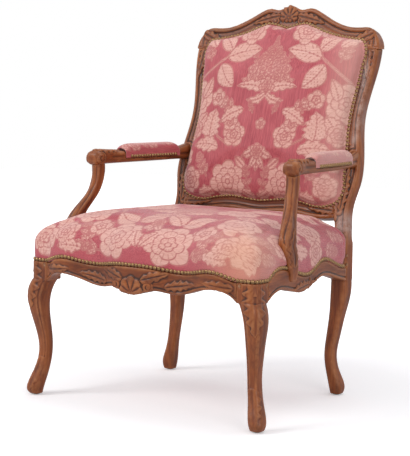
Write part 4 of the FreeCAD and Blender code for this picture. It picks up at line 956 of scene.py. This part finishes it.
def swell(pad, rim, start, outward, soft, cap):
    """Blow a pad up as cloth with its rim held, and keep the outward movement up to a cap."""
    group = pad.vertex_groups.new(name="held")
    group.add(rim, 1.0, "REPLACE")
    cloth = pad.modifiers.new("swell", "CLOTH")
    cloth.settings.use_pressure = True
    cloth.settings.uniform_pressure_force = PAD_PRESSURE
    cloth.settings.vertex_group_mass = "held"
    cloth.settings.effector_weights.gravity = 0
    cloth.settings.tension_stiffness = 12
    cloth.settings.compression_stiffness = 12
    cloth.settings.shear_stiffness = 6
    cloth.settings.bending_stiffness = 0.8
    cloth.point_cache.frame_start = 1
    cloth.point_cache.frame_end = SWELL_FRAMES
    for number in range(1, SWELL_FRAMES + 1):
        bpy.context.scene.frame_set(number)
    settle(pad)
    move = places(pad.data) - start
    sunk = np.minimum(0, (move * outward).sum(1))
    move -= outward * sunk[:, None]
    far = np.linalg.norm(move, axis=1)
    move *= np.minimum(1, cap / np.maximum(far, TINY))[:, None] * soft[:, None]
    set_places(pad.data, start + move)
    bpy.context.scene.frame_set(1)
    print(pad.name, f"swelled by up to {min(far.max(), cap):.1f} mm")


def make_pad(name, form, under, up, shrink, cap):
    """Shrink a form a little, swell it as cloth, smooth it by one subdivision and close its underside."""
    form.verts.index_update()
    held = [vert.index for vert in under]
    rim = sorted({other.index for vert in under for edge in vert.link_edges for other in edge.verts})
    pad = form_piece(name, form)
    start = places(pad.data)
    outward = facings(pad.data)
    soft = ease(nearest_distance(start, start[held]), HELD_DEPTH, FREE_DEPTH)
    soft[rim] = 0
    set_places(pad.data, start - outward * shrink * soft[:, None])
    swell(pad, rim, start, outward, soft, cap)
    finer = pad.modifiers.new("finer", "SUBSURF")
    finer.levels = finer.render_levels = 1
    settle(pad)
    fill_under(pad, Vector(up))
    return pad

# %% [markdown]
# ## The damask's figure
# Damask is woven in one colour family: the ground lies one way and the figure another, so the figure reads
# as pale flowers on a crimson ground. The flowers, leaves, stems and the basket of the pattern are drawn
# here as distances in millimetres on the flat cloth. Two numbers are kept at each vertex: how far inside
# the figure it is, and how near it is to a drawn line such as a vein. The material turns both into crisp
# edges.

# %% Drawing on the cloth
BARE_CLOTH = 40.0
FULL_RINGS = (1.0, 0.68, 0.36)
SMALL_RINGS = (1.0, 0.5)


class Canvas:
    """The flat cloth at every vertex: how far inside the figure it is, and how near to a drawn line."""

    def __init__(self, across, along):
        self.across = across
        self.along = along
        self.figure = np.full(len(across), -BARE_CLOTH)
        self.line = np.full(len(across), BARE_CLOTH)

    def local(self, spot, turn=0.0):
        """Coordinates about a spot, turned by an angle in degrees."""
        across = self.across - spot[0]
        along = self.along - spot[1]
        swing = math.radians(turn)
        return (
            across * math.cos(swing) - along * math.sin(swing),
            across * math.sin(swing) + along * math.cos(swing),
        )

    def lay(self, inside, detail):
        """Lay a shape over what is there: it covers older lines and brings its own outline and detail."""
        self.figure = np.maximum(self.figure, inside)
        self.line = np.where(inside > 0, np.minimum(inside, detail), np.minimum(self.line, np.abs(inside)))


def draw_flower(canvas, spot, radius, petals=6, turn=0.0, rings=FULL_RINGS):
    """A full flower: rings of rounded petals about a seeded eye."""
    across, along = canvas.local(spot, turn)
    reach = np.hypot(across, along)
    angle = np.arctan2(across, along)
    for number, share in enumerate(rings):
        count = petals if number < 2 else 5
        phase = 0.5 * count * angle + 0.5 * math.pi * (number % 2)
        round_off = np.abs(np.cos(phase))
        edge = radius * share * (0.74 + 0.26 * round_off ** 0.6)
        parting = round_off * reach * 2 / count + 0.6
        rays = np.abs(np.sin(4 * phase)) * reach / (2 * count) + 1.0 + 3.0 * (reach < 0.62 * radius * share)
        canvas.lay(edge - reach, np.minimum(parting, rays))
    canvas.lay(0.12 * radius - reach, np.full(len(reach), 5.0))


def draw_leaf(canvas, root, tip, width, bend=0.0, lobes=0, veins=8):
    """A leaf from its root to its tip, with a midrib and dotted side veins."""
    run = math.hypot(tip[0] - root[0], tip[1] - root[1])
    way = ((tip[0] - root[0]) / run, (tip[1] - root[1]) / run)
    across = canvas.across - root[0]
    along = canvas.along - root[1]
    forth = across * way[0] + along * way[1]
    share = np.clip(forth / run, 0, 1)
    side = across * way[1] - along * way[0] - bend * 4 * share * (1 - share)
    half = 0.5 * width * np.sin(math.pi * share ** 0.8) ** 0.8
    if lobes:
        half = half * (1 + 0.16 * np.sin(2 * math.pi * lobes * share))
    past_ends = -np.hypot(side, np.abs(forth - run * share)) - 0.5
    inside = np.where((forth > 0) & (forth < run), half - np.abs(side), past_ends)
    gap = run / veins
    vein = (forth - 0.8 * np.abs(side)) / gap
    dashed = np.where(np.abs(side) % 6 < 3.8, 0.0, 4.0)
    detail = np.minimum(np.abs(side) + 0.4, np.abs(vein - np.round(vein)) * gap * 0.8 + dashed + 0.3)
    canvas.lay(inside, np.where(np.abs(side) < half - 1.5, detail, 4.0))


def draw_stem(canvas, points, width):
    """A stem along a bent line of points."""
    nearest = np.full(len(canvas.across), 99.0)
    for start, end in zip(points, points[1:]):
        span = (end[0] - start[0], end[1] - start[1])
        across = canvas.across - start[0]
        along = canvas.along - start[1]
        share = np.clip((across * span[0] + along * span[1]) / (span[0] ** 2 + span[1] ** 2), 0, 1)
        reach = np.hypot(across - share * span[0], along - share * span[1])
        nearest = np.minimum(nearest, reach)
    canvas.lay(width / 2 - nearest, np.full(len(nearest), 4.0))


def step(spot, turn, length):
    """The point at a distance from a spot, in a direction in degrees from straight up."""
    swing = math.radians(turn)
    return (spot[0] + math.sin(swing) * length, spot[1] + math.cos(swing) * length)


def draw_sprig(canvas, root, turn, length, pairs=3):
    """A sprig: a thin stem with pairs of small leaves and a bud."""
    tip = step(root, turn, length)
    draw_stem(canvas, [root, tip], 2.4)
    for number in range(pairs):
        share = (number + 0.6) / (pairs + 0.6)
        foot = step(root, turn, length * share)
        reach = length * 0.38 * (1.1 - 0.4 * share)
        for lean in (-50, 50):
            draw_leaf(canvas, foot, step(foot, turn + lean, reach), reach * 0.5, veins=3)
    draw_flower(canvas, tip, length * 0.16, petals=5, rings=SMALL_RINGS)


def draw_fan(canvas, foot, length, width, turns):
    """Leaves that fan out from one foot."""
    for turn in turns:
        draw_leaf(canvas, foot, step(foot, turn, length), width, veins=5)


# %% [markdown]
# ## Laying out the pattern
# A damask repeats about an upright axis: each motif on the right has its mirror image on the left. So a
# motif is placed once, as on the right, and a half of the pattern knows which way to turn it. Later motifs
# lie over earlier ones, so their order matters. Places are in millimetres on the flat cloth, across from
# the axis and along the warp.

# %% The basket and one half of a pattern
MIRRORED = (1, -1)
BASKET_ROWS = ((34, 5), (56, 5), (76, 4), (94, 3), (110, 2), (124, 1))
BASKET_PITCH = 25


def draw_basket(canvas, foot, scale=1.0):
    """The heart of the pattern: a bouquet that rises to a point from a low basket with a swag under it."""
    def place(across, along):
        return (foot[0] + across * scale, foot[1] + along * scale)

    draw_fan(canvas, place(0, 6), 84 * scale, 26 * scale, (-74, 74, -52, 52))
    for row, (rise, count) in enumerate(BASKET_ROWS):
        radius = (15 - 1.2 * row) * scale
        for number in range(count):
            shift = (number - (count - 1) / 2) * BASKET_PITCH
            draw_flower(canvas, place(shift, rise), radius, petals=5, turn=20 * number, rings=SMALL_RINGS)
    for hand in MIRRORED:
        draw_sprig(canvas, place(hand * 34, 70), hand * 38, 42 * scale, pairs=2)
        draw_leaf(canvas, place(0, 0), place(hand * 90, 10), 26 * scale, bend=-hand * 8 * scale, lobes=4)
    draw_flower(canvas, place(0, 12), 24 * scale, petals=7)
    for hand in MIRRORED:
        draw_leaf(canvas, place(0, -8), place(hand * 56, -26), 22 * scale, bend=hand * 9 * scale, lobes=3)
    draw_sprig(canvas, place(0, 124), 0, 22 * scale, pairs=2)


class Half:
    """One half of a mirrored pattern: a place across is counted from the axis outwards."""

    def __init__(self, canvas, axis, hand):
        self.canvas = canvas
        self.axis = axis
        self.hand = hand

    def place(self, spot):
        return (self.axis + self.hand * spot[0], spot[1])

    def flower(self, spot, radius, petals=6, turn=0.0, rings=FULL_RINGS):
        draw_flower(self.canvas, self.place(spot), radius, petals, turn, rings)

    def leaf(self, root, tip, width, bend=0.0, lobes=0):
        draw_leaf(self.canvas, self.place(root), self.place(tip), width, bend, lobes)

    def sprig(self, root, turn, length, pairs=3):
        draw_sprig(self.canvas, self.place(root), self.hand * turn, length, pairs)

    def stem(self, points, width):
        draw_stem(self.canvas, [self.place(point) for point in points], width)


# %% The back's pattern
BASKET_UP = 350


def draw_back(canvas):
    """The pattern as it lies on the chair's back, centred on the basket."""
    draw_basket(canvas, (0, BASKET_UP))
    for hand in MIRRORED:
        half = Half(canvas, 0, hand)
        half.stem(((229, 378), (185, 410), (145, 439), (133, 459)), 5)
        half.leaf((142, 439), (40, 462), 52, bend=hand * 5)
        half.leaf((133, 459), (184, 505), 46, bend=-hand * 6)
        half.leaf((156, 419), (105, 358), 54, bend=-hand * 6)
        half.flower((81, 516), 42)
        half.sprig((196, 430), 20, 62)
        half.flower((222, 326), 52, petals=5, turn=12)
        half.leaf((205, 330), (180, 385), 30, bend=4)
        half.sprig((88, 298), 62, 64)
        half.stem(((52, 214), (96, 208), (128, 226), (152, 262)), 4)
        half.leaf((156, 216), (152, 300), 62, bend=hand * 6, lobes=5)
        half.flower((76, 232), 34, petals=5)
        half.flower((92, 262), 22, petals=5, rings=SMALL_RINGS)
        half.leaf((120, 196), (206, 202), 40, bend=-hand * 8, lobes=4)
        half.flower((84, 112), 54, petals=7)
        half.flower((203, 112), 34)
        half.sprig((150, 122), 32, 62)
        half.leaf((214, 150), (246, 214), 34, lobes=3)
        half.leaf((0, 206), (46, 178), 24, bend=hand * 6, lobes=3)
        half.leaf((60, 300), (128, 262), 34, bend=-hand * 5, lobes=4)
        half.leaf((150, 318), (108, 316), 26, lobes=3)
        half.flower((148, 330), 24, petals=5, rings=SMALL_RINGS)
        half.leaf((190, 470), (238, 520), 36, lobes=3)
        half.leaf((215, 250), (180, 290), 36, lobes=3)
        half.flower((218, 244), 30)
        half.leaf((40, 92), (0, 70), 30, lobes=3)
        half.leaf((130, 88), (180, 72), 34, lobes=3)
        half.leaf((36, 150), (66, 176), 24)
        half.sprig((20, 96), 12, 52, pairs=2)
        half.leaf((30, 520), (4, 546), 26, lobes=3)
        half.flower((140, 520), 26, petals=5)
        half.sprig((30, 290), 24, 30, pairs=2)
    draw_flower(canvas, (0, 262), 15, petals=5, rings=SMALL_RINGS)
    draw_fan(canvas, (0, 182), 40, 18, (180, 148, 212))
    draw_flower(canvas, (0, 192), 20)


# %% The seat's pattern
SEAT_AXIS = 14.0


def draw_seat(canvas):
    """Rows of full flowers with sprays between them; the first row hangs over the front edge."""
    for hand in MIRRORED:
        half = Half(canvas, SEAT_AXIS, hand)
        half.flower((73, -322), 62, turn=8 * hand)
        half.sprig((128, -352), 80, 56)
        half.sprig((150, -330), 40, 66)
        half.leaf((170, -352), (250, -362), 34, lobes=4)
        half.flower((232, -316), 38)
        half.flower((300, -330), 46)
        half.leaf((60, -250), (0, -205), 50, bend=6)
        half.leaf((66, -252), (140, -214), 52, bend=-6)
        half.flower((206, -228), 52)
        half.sprig((262, -262), 60, 60)
        half.flower((300, -190), 40, petals=5)
        half.stem(((140, -214), (160, -170), (128, -120)), 5)
        half.leaf((160, -172), (224, -136), 44, bend=-6)
        half.flower((118, -104), 54, petals=7)
        half.leaf((180, -96), (262, -92), 50, bend=5, lobes=4)
        half.flower((250, -20), 50)
        half.leaf((112, -48), (178, 6), 50, bend=-5)
        half.sprig((64, -44), 20, 70)
        half.flower((98, 66), 52)
        half.leaf((160, 52), (232, 76), 44, lobes=4)
        half.flower((190, 138), 48)
        half.sprig((262, 60), 10, 70)
        half.leaf((54, 120), (120, 168), 40, lobes=3)
        half.leaf((30, -300), (4, -352), 34, lobes=3)
        half.leaf((120, -290), (166, -262), 40, lobes=3)
        half.flower((150, -282), 28, petals=5, rings=SMALL_RINGS)
        half.leaf((262, -300), (262, -246), 40, lobes=3)
        half.sprig((330, -300), 10, 60)
        half.leaf((310, -140), (318, -60), 44, lobes=4)
        half.flower((316, -20), 36)
        half.sprig((306, 30), 5, 66)
        half.leaf((280, -120), (230, -60), 40, lobes=3)
        half.flower((178, -160), 22, petals=5, rings=SMALL_RINGS)
    draw_basket(canvas, (SEAT_AXIS, -176), 1.05)
    draw_basket(canvas, (SEAT_AXIS, 44), 0.9)
    draw_fan(canvas, (SEAT_AXIS, -262), 40, 20, (180, 140, 220))
    draw_flower(canvas, (SEAT_AXIS, -256), 18)


# %% The armrests' pattern
ARM_REPEAT = 66.0


def draw_arm(canvas):
    """A run of flowers and leaves along an armrest."""
    for number in range(-3, 4):
        along = ARM_REPEAT * number
        draw_flower(canvas, (3, along), 22, petals=6)
        draw_leaf(canvas, (8, along + 22), (-16, along + 52), 17, lobes=3)
        draw_leaf(canvas, (-12, along + 18), (22, along + 44), 15)


# %% [markdown]
# ## Damask and its finish
# The satin ground shines more than the figure, and its colour runs in fine streaks along the warp, while
# the figure's slubs run across. Both colours wander in soft clouds, and the side towards the window has
# faded. All of it reads the cloth's own flat coordinates, so that the threads follow the pad round its
# edges and don't slide.

# %% Colours and threads of the damask
ROSE_CLOUD = (0.62, 0.16, 0.17)
SALMON_CLOUD = (0.70, 0.35, 0.28)
DRAWN_LINE = (0.42, 0.085, 0.085)
FADED = (0.80, 0.52, 0.42)
SUN_STAIN = (0.72, 0.33, 0.16)


def damask():
    """Crimson satin ground with a pale figure, drawn lines in rose, slubs, fading and a fine rib."""
    material, tree, shader = new_material("crimson_damask")
    cloth = attribute(tree, "cloth", "Vector")
    figure = spread(tree, attribute(tree, "figure", "Fac"), -2.2, -0.8)
    line = spread(tree, attribute(tree, "line", "Fac"), 0.8, 2.3, 1, 0)
    streaks = noise(tree, cloth, 420, detail=3, roughness=0.6, stretch=(1, 0.05, 1))
    slubs = noise(tree, cloth, 300, detail=2, stretch=(0.06, 1, 1))
    clouds = noise(tree, cloth, 14, detail=3, roughness=0.6)
    ground = ramp(tree, streaks, (
        (0.3, (0.30, 0.030, 0.045)),
        (0.5, (0.41, 0.052, 0.068)),
        (0.72, (0.54, 0.105, 0.115)),
    ))
    pale = ramp(tree, slubs, (
        (0.3, (0.62, 0.30, 0.25)),
        (0.55, (0.72, 0.40, 0.33)),
        (0.75, (0.79, 0.50, 0.42)),
    ))
    ground = blend(tree, spread(tree, clouds, 0.4, 0.7, 0, 0.35), ground, ROSE_CLOUD)
    pale = blend(tree, spread(tree, clouds, 0.4, 0.7, 0, 0.4), pale, SALMON_CLOUD)
    drawn = blend(tree, times(tree, line, 0.82), pale, DRAWN_LINE)
    colour = blend(tree, figure, ground, drawn)
    colour = blend(tree, times(tree, attribute(tree, "fade", "Fac"), 0.42), colour, FADED)
    colour = blend(tree, times(tree, attribute(tree, "sun", "Fac"), 0.35), colour, SUN_STAIN)
    plug_all(tree, shader, {
        "Base Color": colour,
        "Roughness": spread(tree, figure, 0, 1, 0.42, 0.62),
        "Specular IOR Level": 0.35,
        "Sheen Weight": 0.25,
        "Sheen Roughness": 0.5,
    })
    rib = add_node(tree, "ShaderNodeTexWave", {"Vector": cloth, "Scale": 380, "Distortion": 0.6})
    rib.bands_direction = "Y"
    weave = plus(tree, times(tree, rib.outputs["Fac"], 0.35), streaks)
    add_bump(tree, shader, plus(tree, weave, times(tree, figure, 0.9)), 0.0004, 0.6)
    return material


damask_finish = damask()
print("finish", damask_finish.name)

# %% From the flat cloth to the pads
LEVEL_LEAST = 0.05


def unroll_walls(plan, facing, extra):
    """Flat cloth coordinates of a pad: its plan, with its walls unrolled outwards by a further length."""
    level = np.hypot(*facing)
    share = np.where(level > LEVEL_LEAST, extra / np.maximum(level, LEVEL_LEAST), 0)
    return [flat + turned * share for flat, turned in zip(plan, facing)]


def finish_damask(pad, flat, drop, draw, replaced, fade=0.0, sun=0.0):
    """Store the cloth's coordinates and pattern on a pad, and let it stand for its nodes."""
    mesh = pad.data
    canvas = Canvas(*flat)
    draw(canvas)
    write_rows(mesh, "cloth", np.stack([*flat, drop], 1) * MM)
    for name, values in (("figure", canvas.figure), ("line", canvas.line), ("fade", fade), ("sun", sun)):
        write_value(mesh, name, values)
    coat(mesh, damask_finish)
    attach(pad, "root")
    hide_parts(*replaced)
    print(pad.name, len(mesh.vertices), "vertices")



# %% [markdown]
# ## The seat
# The seat is domed over its springy stuffing, and its cover comes down over the rails to a row of nails,
# with a notch at each post and each arm support. The rays start from a point deep inside it. A notch would
# leave a hole in the grid, so the rim is carried across it from both sides.

# %% The seat
SEAT_CENTRE = (0.0, -0.066, 0.362)
SEAT_LIP = 404.0
UP = (0, 0, 1)
STAIN_AT, STAIN_SIZE = (285, -310), (60, 70)
seat_skin = Skin("seat_cover", SEAT_CENTRE, (1, 0, 0), (0, 1, 0), UP, lowest=-14)
seat_form = lay_grid(seat_skin.profiles(notch_tilt=3), cells=150)
seat_under = turn_under(seat_form, SEAT_CENTRE, UP)
seat_pad = make_pad("seat_pad", seat_form, seat_under, UP, shrink=3.0, cap=7.0)
across, along, rise = places(seat_pad.data).T
turned = facings(seat_pad.data).T[:2]
flat = unroll_walls((across, along), turned, np.maximum(0, SEAT_LIP - rise))
fade = 0.5 * ease(across, 120, 300) * ease(-along, 60, 260)
sun = bump(across, STAIN_AT[0], STAIN_SIZE[0]) * bump(along, STAIN_AT[1], STAIN_SIZE[1])
finish_damask(seat_pad, flat, rise, draw_seat, ("seat_cover", "seat_stuffing"), fade, sun)

# %% [markdown]
# ## The back's two faces
# The inside of the back is a shallow pad within the carved frame. The outside is a panel of the same cloth,
# nailed flat, so it swells very little. One function makes both: only the node, the side and the depth of
# the starting point differ, and all of it is worked in the back's own sloping plane.

# %% The back pad and the outside panel
FRAME_DEPTH = 31.6
BACK_LIP = 16.0
back_up = Vector((0, math.sin(BACK_RAKE), math.cos(BACK_RAKE)))
back_forward = Vector((0, -math.cos(BACK_RAKE), math.sin(BACK_RAKE)))
back_origin = Vector((0, BACK_PLANE_Y, BACK_BASE)) * MM
back_heart = back_origin + back_up * BACK_MIDDLE[1] * 1.1 * MM


def back_pad(node, name, replaced, side, depth, shrink, cap):
    """A pad on the front of the back for a side of 1, on its outside for -1."""
    centre = back_heart + back_forward * depth * MM
    skin = Skin(node, centre, (side, 0, 0), back_up, back_forward * side, lowest=-4)
    form = lay_grid(skin.profiles(notch_tilt=20), cells=104)
    under = turn_under(form, centre, back_forward)
    pad = make_pad(name, form, under, back_forward * side, shrink, cap)
    across, up, forward = back_plane(places(pad.data))
    turned = back_axes(facings(pad.data))[:2]
    wall = np.maximum(0, BACK_LIP - forward) if side > 0 else np.zeros(len(up))
    fade = 0.85 * ease(across, 130, 235) if side > 0 else 0.0
    flat = unroll_walls((across, up), turned, wall)
    finish_damask(pad, flat, forward, draw_back, replaced, fade)


back_pad("back_cover", "back_pad", ("back_cover", "back_stuffing"), 1, -1.0, 3.0, 8.0)
back_pad("back_outside_panel", "back_outside_pad", ("back_outside_panel",), -1, -FRAME_DEPTH, 0.0, 3.0)

# %% [markdown]
# ## The armrests
# An arm pad is a half round along the arm, nailed down both sides. Rays from one point would slant along so
# long a form, so here each row of the grid has its own centre on the arm's line, and its rays fan out from
# nail row to nail row.


# %% The armrests
ARM_STATIONS, ARM_ROUND = 72, 28
ARM_PAD_Y = (-32.0, 174.0)
ARM_PAD_END = 0.4
ARM_PAD_LINE = ((-44, 283.5), (0, 279.5), (111, 268), (171, 262))
ARM_PAD_BASE = 567.5
ARM_PAD_LIP = 596
ARM_PAD_RADIUS = 19
ARM_FAN = math.radians(88)
ARM_RAY, ARM_RAY_LENGTH = 0.08, 0.079
ARM_MIDDLE = (271, 71)


def arm_pad(side):
    """An armrest's pad, its grid laid across the arm from nail row to nail row."""
    hand = 1 if side == "right" else -1
    tree = ray_tree(f"arm_pad_cover_{side}")
    form = bmesh.new()
    bmesh.ops.create_grid(form, x_segments=ARM_STATIONS, y_segments=ARM_ROUND, size=1)
    length = ARM_PAD_Y[1] - ARM_PAD_Y[0] - 2 * ARM_PAD_END
    for vert in form.verts:
        y = ARM_PAD_Y[0] + ARM_PAD_END + length * (vert.co.x + 1) / 2
        base = Vector((hand * follow(y, ARM_PAD_LINE), y, ARM_PAD_BASE)) * MM
        swing = vert.co.y * ARM_FAN
        way = Vector((math.sin(swing), 0, math.cos(swing)))
        spot = tree.ray_cast(base + way * ARM_RAY, -way, ARM_RAY_LENGTH)[0]
        vert.co = spot if spot is not None else base + way * ARM_PAD_RADIUS * MM
    centre = Vector((hand * ARM_MIDDLE[0], ARM_MIDDLE[1], ARM_PAD_BASE)) * MM
    under = turn_under(form, centre, UP)
    pad = make_pad(f"arm_pad_{side}", form, under, UP, shrink=1.0, cap=3.0)
    across, along, rise = places(pad.data).T
    plan = (across - hand * ARM_MIDDLE[0], along - ARM_MIDDLE[1])
    flat = unroll_walls(plan, facings(pad.data).T[:2], np.maximum(0, ARM_PAD_LIP - rise))
    names = (f"arm_pad_cover_{side}", f"arm_pad_stuffing_{side}")
    finish_damask(pad, flat, rise, draw_arm, names, fade=0.75 if hand > 0 else 0.1)


for side in ("left", "right"):
    arm_pad(side)

# %% [markdown]
# ## Brass, jute and the hidden parts
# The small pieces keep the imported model's own solids, because their shapes are right, and only get a
# finish: dark old brass on the nails, woven jute on the webbing, loose hessian, raw beech on the blocks and
# pegs inside.

# %% Finishes of the small pieces
def old_brass():
    """Brass that has gone brown, with bright patches at random."""
    material, tree, shader = new_material("old_brass")
    tarnish = noise(tree, object_place(tree), 700, detail=3, roughness=0.6)
    brass = ramp(tree, tarnish, (
        (0.32, (0.085, 0.045, 0.022)),
        (0.5, (0.24, 0.135, 0.06)),
        (0.72, (0.5, 0.33, 0.16)),
    ))
    rough = spread(tree, tarnish, 0.3, 0.7, 0.48, 0.28)
    plug_all(tree, shader, {"Base Color": brass, "Roughness": rough, "Metallic": 0.9})
    add_bump(tree, shader, tarnish, 0.0002, 0.5)
    return material


def worn_steel():
    """Grey screws and glides."""
    material, tree, shader = new_material("worn_steel")
    marks = noise(tree, object_place(tree), 500, detail=4, stretch=(1, 1, 0.2))
    steel = ramp(tree, marks, ((0.35, (0.16, 0.15, 0.14)), (0.65, (0.42, 0.41, 0.39))))
    rough = spread(tree, marks, 0.3, 0.7, 0.3, 0.5)
    plug_all(tree, shader, {"Base Color": steel, "Roughness": rough, "Metallic": 1.0})
    return material


def raw_beech():
    """Unpolished beech of the hidden blocks, pegs and rear rail."""
    material, tree, shader = new_material("raw_beech")
    grain = noise(tree, object_place(tree), 220, detail=4, stretch=(0.05, 1, 1))
    flecks = noise(tree, object_place(tree), 900, detail=2, stretch=(0.2, 1, 1))
    wood = ramp(tree, grain, (
        (0.3, (0.17, 0.07, 0.03)),
        (0.55, (0.30, 0.135, 0.06)),
        (0.75, (0.40, 0.20, 0.095)),
    ))
    wood = blend(tree, spread(tree, flecks, 0.55, 0.7, 0, 0.5), wood, (0.10, 0.04, 0.018))
    plug_all(tree, shader, {"Base Color": wood, "Roughness": 0.6})
    add_bump(tree, shader, grain, 0.0003, 0.6)
    return material


def woven(name, dark, light, pitch, depth):
    """A plain weave of threads crossing on Object coordinates."""
    material, tree, shader = new_material(name)
    place = object_place(tree)
    threads = []
    for direction in ("X", "Y"):
        sizes = {"Vector": place, "Scale": pitch, "Distortion": 0.8, "Detail": 1.0}
        wave = add_node(tree, "ShaderNodeTexWave", sizes)
        wave.bands_direction = direction
        threads.append(wave.outputs["Fac"])
    hair = noise(tree, place, 800, detail=3)
    mixed = plus(tree, times(tree, times(tree, *threads), 0.7), times(tree, hair, 0.4))
    colour = ramp(tree, mixed, ((0.2, dark), (0.7, light)))
    plug_all(tree, shader, {"Base Color": colour, "Roughness": 0.9, "Sheen Weight": 0.15})
    add_bump(tree, shader, mixed, depth, 0.8)
    return material


def refinish(material, *names):
    """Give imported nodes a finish."""
    for name in names:
        slots = nodes[name].material_slots
        if len(slots) == 0:
            nodes[name].data.materials.append(material)
        for slot in slots:
            slot.material = material
    print(material.name, "on", len(names), "nodes")


blocks = [f"corner_block_{corner}" for corner in ("front_left", "front_right", "rear_left", "rear_right")]
jute = woven("jute_webbing_finish", (0.13, 0.075, 0.035), (0.42, 0.29, 0.16), pitch=260, depth=0.0006)
hessian = woven("hessian_finish", (0.19, 0.12, 0.06), (0.52, 0.38, 0.22), pitch=420, depth=0.0004)
refinish(old_brass(), "seat_nails", "back_nails", "back_panel_nails", "arm_nails")
refinish(worn_steel(), "foot_glides", "corner_block_screws", "arm_support_screws")
refinish(raw_beech(), "rear_seat_rail", "joint_pegs", *blocks)
refinish(jute, "seat_webbing", "back_webbing")
refinish(hessian, "seat_hessian", "back_hessian")

# %% [markdown]
# ## Floor and light
# The floor is one flat pale square, wide enough to reach past the picture. Three soft lamps light it: a
# large one from the front left, a weaker one from the right and one from above. The floor adds a glow of
# its own, for the camera's eye alone, that grows with the distance from the chair. So it runs out into the
# white of the world without a line, keeps the shadow near the chair, and puts no more light on the chair.

# %% Floor, lamps and world
FLOOR_REACH = 6.0
FLOOR_GLOW = 0.3
FAR_GLOW = 0.9
GLOW_FROM, GLOW_TO = 0.5, 2.2
WORLD_LIGHT = 0.42
AIM = Vector((0, 0, 0.45))
LAMPS = {
    "key": ((-1.7, -2.6, 2.5), 1.6, 62.0),
    "fill": ((2.9, -1.7, 1.5), 1.8, 34.0),
    "top": ((0.2, 0.6, 3.2), 2.0, 30.0),
}


def add_floor():
    """A flat floor that takes the chair's shadow."""
    form = bmesh.new()
    bmesh.ops.create_grid(form, x_segments=1, y_segments=1, size=FLOOR_REACH)
    floor = form_piece("floor", form)
    material, tree, shader = new_material("pale_floor")
    rays = tree.nodes.new("ShaderNodeLightPath")
    away = tree.nodes.new("ShaderNodeVectorMath")
    away.operation = "LENGTH"
    tree.links.new(object_place(tree), away.inputs[0])
    glow = spread(tree, away.outputs["Value"], GLOW_FROM, GLOW_TO, FLOOR_GLOW, FAR_GLOW)
    plug_all(tree, shader, {
        "Base Color": (0.9, 0.9, 0.9),
        "Roughness": 0.9,
        "Emission Color": (1, 1, 1),
        "Emission Strength": times(tree, rays.outputs["Is Camera Ray"], glow),
    })
    floor.data.materials.append(material)


def add_lamp(name, spot, size, power):
    """A square soft lamp that faces the middle of the chair."""
    light = bpy.data.lights.new(name, "AREA")
    light.size = size
    light.energy = power
    lamp = bpy.data.objects.new(name, light)
    stage.objects.link(lamp)
    lamp.location = spot
    lamp.rotation_euler = (AIM - Vector(spot)).to_track_quat("-Z", "Y").to_euler()


def set_world():
    """A plain world: even grey light, and white where the camera or a gloss sees it."""
    world = bpy.data.worlds.new("studio")
    bpy.context.scene.world = world
    world.use_nodes = True
    tree = world.node_tree
    tree.nodes.clear()
    rays = tree.nodes.new("ShaderNodeLightPath")
    light = add_node(tree, "ShaderNodeBackground", {"Color": (0.9, 0.92, 1.0), "Strength": WORLD_LIGHT})
    seen = add_node(tree, "ShaderNodeBackground", {"Color": (1, 1, 1)})
    either = calculate(tree, "MAXIMUM", rays.outputs["Is Camera Ray"], rays.outputs["Is Glossy Ray"])
    mix = tree.nodes.new("ShaderNodeMixShader")
    for socket, source in zip(mix.inputs, (either, light.outputs[0], seen.outputs[0])):
        tree.links.new(source, socket)
    output = tree.nodes.new("ShaderNodeOutputWorld")
    tree.links.new(mix.outputs[0], output.inputs[0])


add_floor()
for name, (spot, size, power) in LAMPS.items():
    add_lamp(name, spot, size, power)
set_world()
bpy.context.scene.view_settings.view_transform = "Standard"
print("floor and", len(LAMPS), "lamps")
